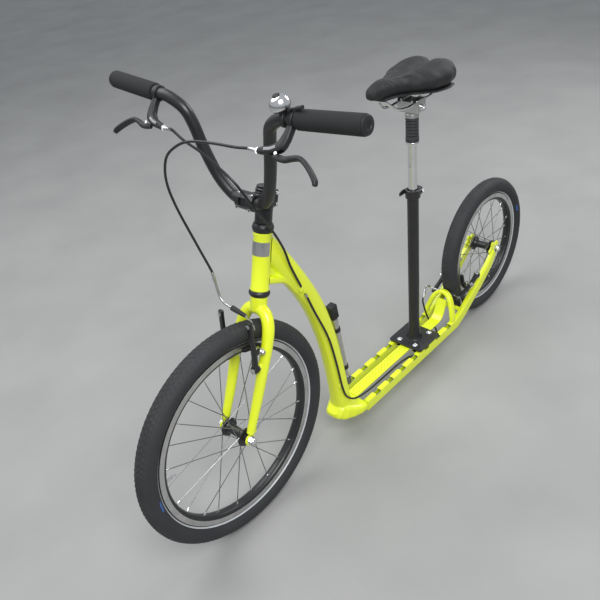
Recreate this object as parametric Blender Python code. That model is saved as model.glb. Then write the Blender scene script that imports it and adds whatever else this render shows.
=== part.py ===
"""A foot scooter with a 20 inch front wheel, a 16 inch rear wheel, rim brakes and a bolt-on seat.

Metres, +Z up. The scooter stands on z = 0, its front wheel towards -Y and the rider's left towards +X.
The origin is under the middle of its box.
"""

import math

import bmesh
import bpy
from mathutils import Matrix, Vector

# Driving dimensions
WHEELBASE = 0.992
FRONT_RADIUS = 0.250
REAR_RADIUS = 0.1995
FRONT_BEAD = 0.203
REAR_BEAD = 0.1525
TYRE_HALF_WIDTH = 0.0235
HEAD_ANGLE = math.radians(72.9)
FORK_OFFSET = 0.0426
HEAD_TUBE_RADIUS = 0.018
STEERER_RADIUS = 0.0127
HUB_HALF_WIDTH = 0.0345
AXLE_RADIUS = 0.0050
DROPOUT_INNER = 0.0373
DROPOUT_THICK = 0.0048
BAR_RADIUS = 0.0111
GRIP_RADIUS = 0.0165
BAR_END = 0.3085
DECK_TOP = 0.083
RAIL_MIDDLE = 0.0425
RAIL_WIDTH = 0.015
RAIL_HEIGHT = 0.031
STRIP_HALF_WIDTH = 0.0155
STRIP_TOP = 0.0845
PLATE_BOTTOM = 0.0865
PLATE_THICK = 0.005
MAST_RADIUS = 0.0143
POST_RADIUS = 0.0111
GAP = 0.0003
SPOKES = 24
WHEEL_STEPS = 32

FRONT_Y = -(WHEELBASE + REAR_RADIUS - FRONT_RADIUS) / 2
REAR_Y = FRONT_Y + WHEELBASE
FRONT_HUB = Vector((0, FRONT_Y, FRONT_RADIUS))
REAR_HUB = Vector((0, REAR_Y, REAR_RADIUS))

X = Vector((1, 0, 0))
Y = Vector((0, 1, 0))
Z = Vector((0, 0, 1))

# The steering axis: up along it, and forward of it.
STEER_UP = Vector((0, math.cos(HEAD_ANGLE), math.sin(HEAD_ANGLE)))
STEER_FORWARD = Vector((0, -math.sin(HEAD_ANGLE), math.cos(HEAD_ANGLE)))
STEER_FOOT = FRONT_HUB - STEER_FORWARD * FORK_OFFSET


def at(x, y, z):
    """A point given by its distance behind the front hub."""
    return Vector((x, FRONT_Y + y, z))


def steer(x, forward, up):
    """A point given across, forward of and up along the steering axis."""
    return STEER_FOOT + X * x + STEER_FORWARD * forward + STEER_UP * up


# Scene and materials


def clear_scene():
    for obj in list(bpy.data.objects):
        bpy.data.objects.remove(obj, do_unlink=True)


def material(name, color, roughness, metallic=0.0):
    mat = bpy.data.materials.new(name)
    mat.use_nodes = True
    shader = mat.node_tree.nodes["Principled BSDF"]
    shader.inputs["Base Color"].default_value = (*color, 1)
    shader.inputs["Roughness"].default_value = roughness
    shader.inputs["Metallic"].default_value = metallic
    mat.diffuse_color = (*color, 1)
    return mat


clear_scene()
YELLOW = material("yellow_paint", (0.83, 1.0, 0.045), 0.35)
BLACK_METAL = material("black_paint", (0.012, 0.012, 0.013), 0.4)
BLACK_PLASTIC = material("black_plastic", (0.015, 0.015, 0.016), 0.5)
FOAM = material("foam_grip", (0.02, 0.02, 0.021), 0.9)
RUBBER = material("tyre_rubber", (0.03, 0.031, 0.033), 0.75)
RIM_METAL = material("rim_alloy", (0.5, 0.5, 0.48), 0.35, 0.9)
CHROME = material("chrome", (0.7, 0.7, 0.7), 0.12, 1.0)
STEEL = material("steel", (0.55, 0.55, 0.55), 0.3, 1.0)
FABRIC = material("saddle_cover", (0.018, 0.018, 0.02), 0.8)


def empty(name, place, parent=None):
    """The frame of one moving body, at its joint."""
    obj = bpy.data.objects.new(name, None)
    bpy.context.collection.objects.link(obj)
    obj.empty_display_size = 0.03
    obj.parent = parent
    obj.location = place - (parent.matrix_world.translation if parent else Vector())
    bpy.context.view_layer.update()
    return obj


def finish(name, bm, mat, body=None, origin=None):
    """Turns a bmesh in world coordinates into an object that hangs on its body's empty."""
    bmesh.ops.remove_doubles(bm, verts=bm.verts, dist=1e-6)
    bmesh.ops.recalc_face_normals(bm, faces=bm.faces)
    place = origin or (body.matrix_world.translation.copy() if body else Vector())
    bmesh.ops.translate(bm, verts=bm.verts, vec=-place)
    mesh = bpy.data.meshes.new(name)
    bm.to_mesh(mesh)
    bm.free()
    mesh.materials.append(mat)
    mesh.shade_smooth()
    mesh.set_sharp_from_angle(angle=math.radians(35))
    obj = bpy.data.objects.new(name, mesh)
    bpy.context.collection.objects.link(obj)
    obj.parent = body
    obj.location = place - (body.matrix_world.translation if body else Vector())
    return obj


def combine(target, operation, cutters):
    """A Boolean on target with helper objects, which the render leaves out."""
    for cutter in cutters:
        cutter.hide_render = True
        cutter.display_type = "WIRE"
        modifier = target.modifiers.new(operation.lower(), "BOOLEAN")
        modifier.operation = operation
        modifier.solver = "EXACT"
        modifier.object = cutter
    return target


# Shapes in world coordinates


def frame_along(direction, side=X):
    """Two unit vectors across a direction, the first near side, or near Y if side lies along it."""
    along = direction.normalized()
    across = side - along * side.dot(along)
    if across.length < 0.01:
        across = Y - along * Y.dot(along)
    across.normalize()
    return across, along.cross(across).normalized()


def ring_points(centre, across, other, half_a, half_b, count, power):
    """An oval of count points. A power above 2 squares it off."""
    points = []
    for i in range(count):
        angle = 2 * math.pi * (i + 0.5) / count
        c, s = math.cos(angle), math.sin(angle)
        a = half_a * math.copysign(abs(c) ** (2 / power), c)
        b = half_b * math.copysign(abs(s) ** (2 / power), s)
        points.append(centre + across * a + other * b)
    return points


def skin(bm, rings):
    """A closed body through the rings, with flat ends."""
    loops = [[bm.verts.new(point) for point in ring] for ring in rings]
    count = len(loops[0])
    for a, b in zip(loops[:-1], loops[1:]):
        for i in range(count):
            j = (i + 1) % count
            bm.faces.new((a[i], a[j], b[j], b[i]))
    bm.faces.new(loops[0][::-1])
    bm.faces.new(loops[-1])


def sweep(bm, path, half_a, half_b=None, count=12, power=2.0, side=X):
    """An oval carried along a path. The half sizes are numbers or one for each point."""
    half_b = half_a if half_b is None else half_b
    sizes_a = half_a if isinstance(half_a, (list, tuple)) else [half_a] * len(path)
    sizes_b = half_b if isinstance(half_b, (list, tuple)) else [half_b] * len(path)
    rings = []
    across = None
    for i, point in enumerate(path):
        ahead = path[min(i + 1, len(path) - 1)] - path[max(i - 1, 0)]
        across, other = frame_along(ahead, across or side)
        rings.append(ring_points(point, across, other, sizes_a[i], sizes_b[i], count, power))
    skin(bm, rings)


def smooth(points, steps):
    """A Catmull-Rom curve through the points, with steps pieces between each two."""
    ends = [2 * points[0] - points[1], *points, 2 * points[-1] - points[-2]]
    curve = []
    for a, b, c, d in zip(ends[:-3], ends[1:-2], ends[2:-1], ends[3:]):
        for i in range(steps):
            t = i / steps
            curve.append(
                0.5
                * (
                    2 * b
                    + (c - a) * t
                    + (2 * a - 5 * b + 4 * c - d) * t * t
                    + (3 * b - a - 3 * c + d) * t**3
                )
            )
    curve.append(points[-1].copy())
    return curve


def spread(values, steps):
    """One value for each point that smooth gives."""
    out = []
    for a, b in zip(values[:-1], values[1:]):
        out += [a + (b - a) * i / steps for i in range(steps)]
    return out + [values[-1]]


def lathe(bm, outline, centre, axis, steps=24, side=Z):
    """Turns an outline of (radius, distance along the axis) about the axis."""
    across, _ = frame_along(axis, side)
    verts = [bm.verts.new(centre + across * r + axis.normalized() * h) for r, h in outline]
    edges = [bm.edges.new(pair) for pair in zip(verts[:-1], verts[1:])]
    if outline[0][0] > 0 or outline[-1][0] > 0:
        edges.append(bm.edges.new((verts[-1], verts[0])))
    bmesh.ops.spin(
        bm,
        geom=verts + edges,
        cent=centre,
        axis=axis,
        angle=2 * math.pi,
        steps=steps,
        use_merge=True,
    )
    bmesh.ops.remove_doubles(bm, verts=bm.verts, dist=1e-6)


def disc(bm, centre, axis, radius, length, steps=20, bevel=0.0):
    """A cylinder from centre along the axis, with a chamfered end."""
    outline = [(0, 0), (radius, 0), (radius, length - bevel)]
    if bevel:
        outline.append((radius - bevel, length))
    outline.append((0, length))
    lathe(bm, outline, centre, axis, steps)


def block(bm, centre, size, axes=(X, Y, Z), bevel=0.0):
    made = bmesh.ops.create_cube(bm, size=1)["verts"]
    turn = Matrix(axes).transposed().to_4x4()
    bmesh.ops.scale(bm, verts=made, vec=size)
    if bevel:
        edges = list({edge for vert in made for edge in vert.link_edges})
        made = bmesh.ops.bevel(
            bm, geom=edges, offset=bevel, segments=1, profile=0.5, affect="EDGES"
        )["verts"]
    bmesh.ops.transform(bm, matrix=Matrix.Translation(centre) @ turn, verts=made)


def lathed(name, mat, outline, centre, axis, body=None, steps=24, side=Z):
    bm = bmesh.new()
    lathe(bm, outline, centre, axis, steps, side)
    return finish(name, bm, mat, body)


def swept(name, mat, path, half_a, half_b=None, body=None, count=12, power=2.0, side=X):
    bm = bmesh.new()
    sweep(bm, path, half_a, half_b, count, power, side)
    return finish(name, bm, mat, body)


def turned(name, centre, axis, radius, length, steps=20, body=None):
    """A plain cylinder, as a cutter or as a piece to join."""
    bm = bmesh.new()
    disc(bm, centre, axis, radius, length, steps)
    return finish(name, bm, STEEL, body)


def boxed(name, centre, size, axes=(X, Y, Z)):
    bm = bmesh.new()
    block(bm, centre, size, axes)
    return finish(name, bm, STEEL)


def mirrored(points):
    return [Vector((-p.x, p.y, p.z)) for p in points]


# The bodies that move, each with its empty on its joint
steering = empty("steering_axis", STEER_FOOT + STEER_UP * 0.37)
front_spin = empty("front_wheel_axis", FRONT_HUB, steering)
rear_spin = empty("rear_wheel_axis", REAR_HUB)


# Wheels


def tyre_outline(bead):
    """The open section of the tyre, from one bead over the tread and back inside."""
    height = FRONT_RADIUS - FRONT_BEAD
    outer = [(0.0004, 0.0100), (0.0075, 0.0102), (0.0190, 0.0232), (0.0370, 0.0205)]
    inner = [(0.0410, 0.0), (0.0200, 0.0190), (0.0075, 0.0076), (0.0004, 0.0072)]
    half = [(bead + r, x) for r, x in outer] + [(bead + height, 0.0)]
    half += [(r, -x) for r, x in reversed(half[:-1])]
    back = [(bead + r, x) for r, x in inner]
    return half + [(r, -x) for r, x in reversed(back[1:])] + back


def rim_outline(bead):
    half = [(bead - 0.0005, 0.0103), (bead + 0.0055, 0.0103), (bead + 0.0055, 0.01225),
        (bead - 0.0080, 0.01225), (bead - 0.0140, 0.0085)]
    return [(bead - 0.0030, 0.0040)] + half + [(r, -x) for r,
        x in reversed(half)] + [(bead - 0.0030, -0.0040)]


def hub_outline():
    half = [(AXLE_RADIUS + GAP, HUB_HALF_WIDTH), (0.0090, HUB_HALF_WIDTH), (0.0090, 0.0285),
        (0.0205, 0.0275), (0.0205, 0.0235), (0.0130, 0.0220)]
    return [(r, -x) for r, x in half] + [(r, x) for r, x in reversed(half)]


def spokes(hub, rim_radius):
    """Two-cross lacing: half the spokes on each flange, leading inside and trailing outside."""
    bm = bmesh.new()
    for k in range(SPOKES):
        side = 1 if k % 2 else -1
        leading = 1 if (k // 2) % 2 else -1
        rim_angle = 2 * math.pi * k / SPOKES
        hub_angle = rim_angle + leading * math.radians(62)
        start_x = side * (0.0243 if leading > 0 else 0.0270)
        start = hub + Vector((start_x, math.cos(hub_angle) * 0.0175, math.sin(hub_angle) * 0.0175))
        end = hub + Vector((side * 0.003, math.cos(rim_angle) * rim_radius,
            math.sin(rim_angle) * rim_radius))
        sweep(bm, [start, end], 0.0011, count=4)
    return bm


def wheel(prefix, hub, bead, body):
    bottom = -Z
    lathed(prefix + "_tyre", RUBBER, tyre_outline(bead), hub, X, body, WHEEL_STEPS, bottom)
    lathed(prefix + "_rim", RIM_METAL, rim_outline(bead), hub, X, body, WHEEL_STEPS, bottom)
    shell = lathed(prefix + "_hub_and_spokes", BLACK_METAL, hub_outline(), hub, X, body, 12)
    laced = finish(prefix + "_spoke_set", spokes(hub, bead - 0.0165), STEEL, body)
    combine(shell, "UNION", [laced])


def axle(name, hub, body):
    """A threaded axle with its locknuts inside the dropouts and a domed nut outside each."""
    inner, outer = DROPOUT_INNER - GAP, DROPOUT_INNER + DROPOUT_THICK + GAP
    half = [(AXLE_RADIUS, HUB_HALF_WIDTH + GAP), (0.0080, HUB_HALF_WIDTH + GAP), (0.0080, inner),
        (AXLE_RADIUS, inner)]
    half += [(AXLE_RADIUS, outer), (0.0088, outer), (0.0088, outer + 0.0075), (0.0062, outer + 0.0110),
        (0, outer + 0.0125)]
    outline = [(r, -x) for r, x in reversed(half)] + half
    lathed(name, CHROME, outline, hub, X, body, 10)


wheel("front", FRONT_HUB, FRONT_BEAD, front_spin)
wheel("rear", REAR_HUB, REAR_BEAD, rear_spin)
axle("front_axle", FRONT_HUB, steering)
axle("rear_axle", REAR_HUB, None)


# Fork



def fork():
    half = [at(0.0405, 0.003, 0.262), at(0.0400, 0.014, 0.281), at(0.0400, 0.042, 0.336),
        at(0.0410, 0.068, 0.391), at(0.0405, 0.091, 0.438), at(0.0355, 0.107, 0.471),
        at(0.0225, 0.1165, 0.4915)]
    path = half + [at(0, 0.1195, 0.498)] + mirrored(half)[::-1]
    radii = [0.0078, 0.0092, 0.0108, 0.0116, 0.0122, 0.0126, 0.0132]
    radii = radii + [0.0138] + radii[::-1]
    obj = swept("fork", YELLOW, smooth(path, 1), spread(radii, 1), body=steering, side=Y)
    bm = bmesh.new()
    outline = [(0, 0.264), (0.0150, 0.266), (0.0170, 0.278), (0.0175, 0.2975), (0.0155, 0.2985),
        (STEERER_RADIUS, 0.2985), (STEERER_RADIUS, 0.510), (0, 0.510)]
    lathe(bm, outline, STEER_FOOT, STEER_UP, 20, STEER_FORWARD)
    add = [finish("fork_steerer", bm, YELLOW, steering)]
    for side in (1, -1):
        inner = FRONT_HUB + X * side * DROPOUT_INNER
        add.append(turned(f"fork_dropout_{side}", inner, X * side, 0.0125, DROPOUT_THICK, 18, steering))
        lobe = inner + Vector((0, 0.010, 0.017))
        add.append(turned(f"fork_lobe_{side}", lobe, X * side, 0.0085, DROPOUT_THICK, 12, steering))
        pivot = front_brake_pivot(side)
        add.append(turned(f"fork_boss_{side}", pivot + Y * 0.012, -Y, 0.0050, 0.0280, 12, steering))
    combine(obj, "UNION", add)
    slots = []
    for side in (1, -1):
        place = FRONT_HUB + X * side * (DROPOUT_INNER + DROPOUT_THICK / 2)
        slots.append(turned(f"fork_slot_{side}", place - X * 0.006, X, AXLE_RADIUS + GAP, 0.012, 12,
            steering))
        slots.append(boxed(f"fork_mouth_{side}", place - Z * 0.010,
            (0.012, 2 * (AXLE_RADIUS + GAP), 0.020)))
    combine(obj, "DIFFERENCE", slots)


def front_brake_pivot(side):
    """The brake arm's boss on a fork leg: a little ahead of the leg."""
    return at(0.0405 * side, 0.062, 0.404)


fork()

# Head tube, headset and stem

HEAD_BOTTOM = 0.3113
HEAD_TOP = 0.4297

lathed(
    "head_tube", YELLOW,
    [(0.0150, HEAD_BOTTOM), (HEAD_TUBE_RADIUS + 0.0012, HEAD_BOTTOM),
    (HEAD_TUBE_RADIUS, HEAD_BOTTOM + 0.006), (HEAD_TUBE_RADIUS, HEAD_TOP - 0.006),
    (HEAD_TUBE_RADIUS + 0.0012, HEAD_TOP), (0.0150, HEAD_TOP)],
    STEER_FOOT, STEER_UP, None, 16, STEER_FORWARD,
)
for cup_name, low, high in (("lower_headset_cup", 0.2990, HEAD_BOTTOM - GAP),
    ("upper_headset_cup", HEAD_TOP + GAP, 0.4475)):
    middle = (low + high) / 2
    outline = [(STEERER_RADIUS + GAP, low), (0.0195, low), (0.0215, middle - 0.002),
        (0.0215, middle + 0.002), (0.0195, high), (STEERER_RADIUS + GAP, high)]
    lathed(cup_name, BLACK_METAL, outline, STEER_FOOT, STEER_UP, None, 16, STEER_FORWARD)

SPACER_TOP = 0.4760
STEM_TOP = 0.5160
lathed(
    "steerer_spacer", BLACK_METAL,
    [(STEERER_RADIUS + GAP, 0.4480), (0.0170, 0.4480), (0.0170, SPACER_TOP),
    (STEERER_RADIUS + GAP, SPACER_TOP)],
    STEER_FOOT, STEER_UP, steering, 16, STEER_FORWARD,
)

BAR_FORWARD = 0.042
BAR_UP = 0.4951
BAR_CENTRE = steer(0, BAR_FORWARD, BAR_UP)


def stem():
    bm = bmesh.new()
    disc(bm, steer(0, 0, SPACER_TOP + GAP), STEER_UP, 0.0190, STEM_TOP - SPACER_TOP, 16)
    obj = finish("stem", bm, BLACK_METAL, steering)
    clamp = turned("stem_clamp", BAR_CENTRE - X * 0.023, X, 0.0175, 0.046, 20, steering)
    bm = bmesh.new()
    block(bm, steer(0, BAR_FORWARD / 2, BAR_UP), (0.032, BAR_FORWARD, 0.031),
        (X, STEER_FORWARD, STEER_UP), 0.003)
    neck = finish("stem_neck", bm, BLACK_METAL, steering)
    bm = bmesh.new()
    block(bm, steer(0, -0.021, BAR_UP), (0.022, 0.014, 0.034), (X, STEER_FORWARD, STEER_UP), 0.002)
    pinch = finish("stem_pinch_block", bm, BLACK_METAL, steering)
    combine(obj, "UNION", [clamp, neck, pinch])
    front = boxed("stem_front_cut", steer(0, BAR_FORWARD + 0.0197, BAR_UP), (0.06, 0.040, 0.05),
        (X, STEER_FORWARD, STEER_UP))
    bore = turned("stem_bore", steer(0, 0, 0.46), STEER_UP, STEERER_RADIUS + GAP, 0.08, 16, steering)
    hole = turned("stem_bar_hole", BAR_CENTRE - X * 0.03, X, BAR_RADIUS + GAP, 0.06, 16, steering)
    slit = boxed("stem_slit", steer(0, -0.022, BAR_UP), (0.002, 0.024, 0.06),
        (X, STEER_FORWARD, STEER_UP))
    combine(obj, "DIFFERENCE", [front, bore, hole, slit])


def faceplate():
    bm = bmesh.new()
    disc(bm, BAR_CENTRE - X * 0.023, X, 0.0175, 0.046, 20)
    obj = finish("stem_faceplate", bm, BLACK_METAL, steering)
    back = boxed("faceplate_cut", steer(0, BAR_FORWARD - 0.0197, BAR_UP), (0.06, 0.040, 0.05),
        (X, STEER_FORWARD, STEER_UP))
    hole = turned("faceplate_hole", BAR_CENTRE - X * 0.03, X, BAR_RADIUS + GAP, 0.06, 16, steering)
    combine(obj, "DIFFERENCE", [back, hole])


stem()
faceplate()
lathed("stem_cap", BLACK_METAL, [(0, 0), (0.0165, 0), (0.0165, 0.003), (0.0150, 0.004), (0.0045, 0.004),
    (0.0045, 0.0065), (0, 0.0065)], steer(0, 0, STEM_TOP + 2 * GAP), STEER_UP, steering, 14)

# Handlebar and what it carries

GRIP_INNER = 0.180
grip_start = at(0.145, 0.1255, 0.9085)
grip_end = at(BAR_END, 0.1300, 0.9205)
GRIP_ALONG = (grip_end - grip_start).normalized()


def on_grip(x, side=1):
    """A point on the straight end of the bar."""
    point = grip_start + GRIP_ALONG * ((x - grip_start.x) / GRIP_ALONG.x)
    return Vector((point.x * side, point.y, point.z))


def grip_axis(side):
    return Vector((GRIP_ALONG.x * side, GRIP_ALONG.y, GRIP_ALONG.z))


def bar_path():
    half = [BAR_CENTRE + X * 0.024, at(0.045, 0.147, 0.7300), at(0.068, 0.142, 0.762),
        at(0.087, 0.137, 0.815), at(0.099, 0.134, 0.862), at(0.112, 0.130, 0.890)]
    half = smooth([BAR_CENTRE, *half, on_grip(0.145), on_grip(0.17)], 2)[:-2]
    half = [p for p in half if p.x > 0.0235 or p.x < 1e-6] + [on_grip(0.17), on_grip(BAR_END)]
    return mirrored(half)[:0:-1] + half


swept("handlebar", BLACK_METAL, bar_path(), BAR_RADIUS, body=steering, count=10, side=Z)
for word, side in (("left", 1), ("right", -1)):
    axis = grip_axis(side)
    length = (on_grip(BAR_END) - on_grip(GRIP_INNER)).length
    inner = BAR_RADIUS + GAP
    lathed(f"grip_{word}", FOAM, [(inner, 0), (0.0160, 0), (GRIP_RADIUS, 0.003),
        (GRIP_RADIUS, length - 0.003), (0.0155, length), (inner, length)], on_grip(GRIP_INNER, side),
        axis, steering, 14)
    lathed(f"bar_plug_{word}", BLACK_PLASTIC, [(0, 0), (0.0150, 0), (0.0150, 0.002), (0.0125, 0.0035),
        (0, 0.0035)], on_grip(BAR_END, side) + axis * GAP, axis, steering, 12)


# Brake levers

LEVER_DROP = math.radians(47.5)
LEVER_OUT = Vector((0, -math.cos(LEVER_DROP), -math.sin(LEVER_DROP)))
LEVER_CLAMP = 0.171


def lever_point(x, out, side, lift=0.0):
    """A point in the lever's plane: x across, out from the bar, lift along the plane's normal."""
    base = on_grip(LEVER_CLAMP, side)
    normal = X.cross(LEVER_OUT)
    return Vector((x * side, base.y, base.z)) + LEVER_OUT * out + normal * lift


def brake_lever(word, side):
    pivot = lever_point(0.166, 0.062, side)
    normal = X.cross(LEVER_OUT)
    turn = empty(f"brake_lever_{word}_axis", pivot, steering)
    body_path = [lever_point(0.171, 0.010, side), lever_point(0.1705, 0.022, side),
        lever_point(0.169, 0.034, side), lever_point(0.164, 0.046, side),
        lever_point(0.150, 0.054, side), lever_point(0.132, 0.058, side),
        lever_point(0.122, 0.060, side)]
    obj = swept(f"lever_body_{word}", BLACK_PLASTIC, body_path,
        [0.0060, 0.0070, 0.0085, 0.0095, 0.0075, 0.0062, 0.0050],
        [0.0075, 0.0075, 0.0075, 0.0080, 0.0080, 0.0060, 0.0050], steering, 10, 2.6, X)
    axis = grip_axis(side)
    ring = turned(f"lever_ring_{word}", on_grip(LEVER_CLAMP, side) - axis * 0.0055, axis, 0.0148, 0.011,
        18, steering)
    adjuster = turned(f"lever_adjuster_{word}", lever_point(0.124, 0.060, side), -X * side, 0.0042,
        0.014, 12, steering)
    combine(obj, "UNION", [ring, adjuster])
    hole = turned(f"lever_hole_{word}", on_grip(LEVER_CLAMP, side) - axis * 0.02, axis,
        BAR_RADIUS + GAP, 0.04, 16, steering)
    slot = swept(f"lever_slot_{word}", STEEL, [lever_point(0.148, 0.063, side),
        lever_point(0.192, 0.063, side)], 0.0042, 0.0150, steering, 4, 8, normal)
    combine(obj, "DIFFERENCE", [hole, slot])
    blade = [lever_point(0.157, 0.0625, side), lever_point(0.170, 0.0640, side),
        lever_point(0.182, 0.0640, side), lever_point(0.198, 0.0590, side),
        lever_point(0.211, 0.0575, side), lever_point(0.226, 0.0640, side),
        lever_point(0.241, 0.0740, side), lever_point(0.252, 0.0835, side),
        lever_point(0.2555, 0.0905, side)]
    swept(f"brake_lever_{word}", BLACK_PLASTIC, blade, [0.0036, 0.0036, 0.0045, 0.0055, 0.0062, 0.0062,
        0.0062, 0.0060, 0.0052], [0.0050, 0.0058, 0.0056, 0.0048, 0.0045, 0.0045, 0.0045, 0.0045,
        0.0042], turn, 10, 2.4, normal)


brake_lever("left", 1)
brake_lever("right", -1)

# Bell on the left of the bar

BELL_X = 0.154
bell_axis = (Z * 0.93 - Y * 0.25 - X * 0.12).normalized()
bell_foot = on_grip(BELL_X)


def bell():
    axis = grip_axis(1)
    bm = bmesh.new()
    disc(bm, bell_foot - axis * 0.0045, axis, 0.0145, 0.009, 18)
    obj = finish("bell_base", bm, BLACK_PLASTIC, steering)
    bm = bmesh.new()
    lathe(bm, [(0, 0.008), (0.0075, 0.008), (0.0085, 0.0165), (0.0150, 0.0185), (0.0150, 0.0225),
        (0.0040, 0.0235), (0.0040, 0.0262), (0, 0.0262)], bell_foot, bell_axis, 14)
    combine(obj, "UNION", [finish("bell_base_top", bm, BLACK_PLASTIC, steering)])
    combine(obj, "DIFFERENCE", [turned("bell_hole", bell_foot - axis * 0.02, axis, BAR_RADIUS + GAP,
        0.04, 16, steering)])
    dome = [(0.0168, 0.0215), (0.0172, 0.0245), (0.0163, 0.0310), (0.0130, 0.0370), (0.0070, 0.0402),
        (0, 0.0410), (0, 0.0268), (0.0130, 0.0268), (0.0158, 0.0240), (0.0158, 0.0215)]
    lathed("bell_dome", CHROME, dome, bell_foot, bell_axis, steering, 16)


bell()
bell_pivot = bell_foot + bell_axis * 0.0205 + X * 0.0185
bell_turn = empty("bell_lever_axis", bell_pivot, steering)
bm = bmesh.new()
disc(bm, bell_pivot - bell_axis * 0.0035, bell_axis, 0.0032, 0.0040, 10)
thumb = finish("bell_lever", bm, BLACK_PLASTIC, bell_turn)
arm = swept("bell_lever_arm", BLACK_PLASTIC, [bell_pivot, bell_pivot + X * 0.008 + Z * 0.001,
    bell_pivot + X * 0.016 + Z * 0.003, bell_pivot + X * 0.027 + Z * 0.006],
    [0.0018, 0.0022, 0.0032, 0.0030], [0.0022, 0.0026, 0.0040, 0.0040], bell_turn, 8, 2.5, Z)
combine(thumb, "UNION", [arm])

# Frame: down tube with its gusset, toe and cable guides

TUBE_HALF_WIDTH = 0.0195
TUBE_HALF_DEPTH = 0.0235
TOE_END = 0.3620
TUBE_PATH = [at(0, 0.160, 0.628), at(0, 0.190, 0.579), at(0, 0.232, 0.501), at(0, 0.270, 0.414),
    at(0, 0.295, 0.319), at(0, 0.308, 0.230), at(0, 0.314, 0.160), at(0, 0.318, 0.092)]
GUIDES = [at(0.0195, 0.2250, 0.487), at(0.0200, 0.2850, 0.3200), at(0.0200, 0.3030, 0.1620)]


def down_tube():
    widths = [0.0165, 0.0180, TUBE_HALF_WIDTH, TUBE_HALF_WIDTH, TUBE_HALF_WIDTH, TUBE_HALF_WIDTH,
        0.0210, 0.0250]
    obj = swept("down_tube", YELLOW, smooth(TUBE_PATH, 2), spread(widths, 2), TUBE_HALF_DEPTH, None, 12,
        2.4)
    toe = [at(0, 0.2890, 0.0900), at(0, 0.2960, 0.0830), at(0, 0.3090, 0.0760), at(0, 0.3280, 0.0705),
        at(0, 0.3450, 0.0675), at(0, TOE_END, 0.0675)]
    add = [swept("toe", YELLOW, toe, [0.018, 0.026, 0.035, 0.044, 0.0485, 0.0500],
        [0.014, 0.022, 0.0225, 0.0185, 0.0160, 0.0150], None, 12, 3.2)]
    bar = [at(0, 0.135, 0.553), at(0, 0.165, 0.540), at(0, 0.200, 0.520), at(0, 0.225, 0.480)]
    add.append(swept("gusset_bar", YELLOW, bar, 0.0130, 0.0085, None, 10, 3))
    bm = bmesh.new()
    block(bm, at(0, 0.176, 0.568), (0.006, 0.050, 0.060))
    add.append(finish("gusset_web", bm, YELLOW))
    for i, place in enumerate(GUIDES):
        bm = bmesh.new()
        block(bm, place - X * 0.0030, (0.0100, 0.0080, 0.0110), bevel=0.001)
        add.append(finish(f"guide_{i}", bm, YELLOW))
    combine(obj, "UNION", add)
    ahead = boxed("head_cut", steer(0, 0.045, 0.36), (0.10, 0.09, 0.30), (X, STEER_FORWARD, STEER_UP))
    tube = turned("head_bore", steer(0, 0, 0.20), STEER_UP, HEAD_TUBE_RADIUS + 0.0012 + GAP, 0.30, 24)
    combine(obj, "DIFFERENCE", [ahead, tube])


down_tube()

# Deck rails, each running on into its stay and dropout

GROOVE_PITCH = 0.054
GROOVE_FIRST = 0.406
GROOVE_WIDTH = 0.019
GROOVE_DEPTH = 0.0055
GROOVES = 7


def rear_brake_pivot(side):
    return at(0.0415 * side, 0.8930, 0.1535)


REAR_BOSS_AXIS = Vector((0, -0.218, 0.976)).normalized()


def rail(word, side):
    x = RAIL_MIDDLE * side
    middle = DECK_TOP - RAIL_HEIGHT / 2
    line = [at(x, TOE_END + GAP, middle), at(x, 0.771, middle)]
    bend = smooth([line[1], at(x, 0.795, 0.0755), at(x, 0.820, 0.0880), at(x, 0.855, 0.1085),
        at(x, 0.900, 0.1345), at(x, 0.950, 0.1670), at(0.0400 * side, 0.9850, 0.1935)], 2)
    path = [line[0]] + bend
    half_b = [RAIL_HEIGHT / 2] * 3 + [0.0150] * (len(path) - 5) + [0.0135, 0.0115]
    half_a = [RAIL_WIDTH / 2] * (len(path) - 1) + [0.0060]
    obj = swept(f"deck_rail_{word}", YELLOW, path, half_a, half_b, None, 8, 12)
    inner = REAR_HUB + X * side * DROPOUT_INNER
    add = [
        turned(f"rear_dropout_{word}", inner, X * side, 0.0150, DROPOUT_THICK, 18),
        turned(f"rear_lobe_{word}", inner + Vector((0, -0.012, 0.0175)), X * side, 0.0085,
        DROPOUT_THICK, 12),
        turned(f"rear_boss_{word}", rear_brake_pivot(side) - REAR_BOSS_AXIS * 0.0180, REAR_BOSS_AXIS,
        0.0050, 0.0340, 12),
    ]
    combine(obj, "UNION", add)
    cut = []
    for i in range(GROOVES):
        place = at(x, GROOVE_FIRST + GROOVE_PITCH * i, DECK_TOP)
        cut.append(boxed(f"groove_{word}_{i}", place, (0.03, GROOVE_WIDTH, 2 * GROOVE_DEPTH)))
    place = REAR_HUB + X * side * (DROPOUT_INNER + DROPOUT_THICK / 2)
    cut.append(turned(f"rear_slot_{word}", place - X * 0.010, X, AXLE_RADIUS + GAP, 0.020, 12))
    cut.append(boxed(f"rear_mouth_{word}", place + Y * 0.010 - Z * 0.004,
        (0.020, 0.022, 2 * (AXLE_RADIUS + GAP)), (X, Vector((0, 0.94, -0.34)),
        Vector((0, 0.34, 0.94)))))
    nut = turned(f"rear_nut_room_{word}", place + X * side * (DROPOUT_THICK / 2), X * side, 0.0115,
        0.020, 16)
    lock = turned(f"rear_lock_room_{word}", place - X * side * (DROPOUT_THICK / 2 + 0.020), X * side,
        0.0105, 0.020, 16)
    combine(obj, "DIFFERENCE", cut + [nut, lock])


rail("left", 1)
rail("right", -1)

# Perforated foot strip, its upturned end, the arch and the bridge


def deck_strip():
    middle = STRIP_TOP - 0.002
    path = [at(0, TOE_END + GAP, middle), at(0, 0.728, middle)]
    path += smooth([at(0, 0.738, middle + 0.001), at(0, 0.7520, 0.0925), at(0, 0.7640, 0.1130),
        at(0, 0.7730, 0.1350)], 2)
    swept("deck_strip", YELLOW, path, STRIP_HALF_WIDTH, 0.0020, None, 8, 12)


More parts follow.
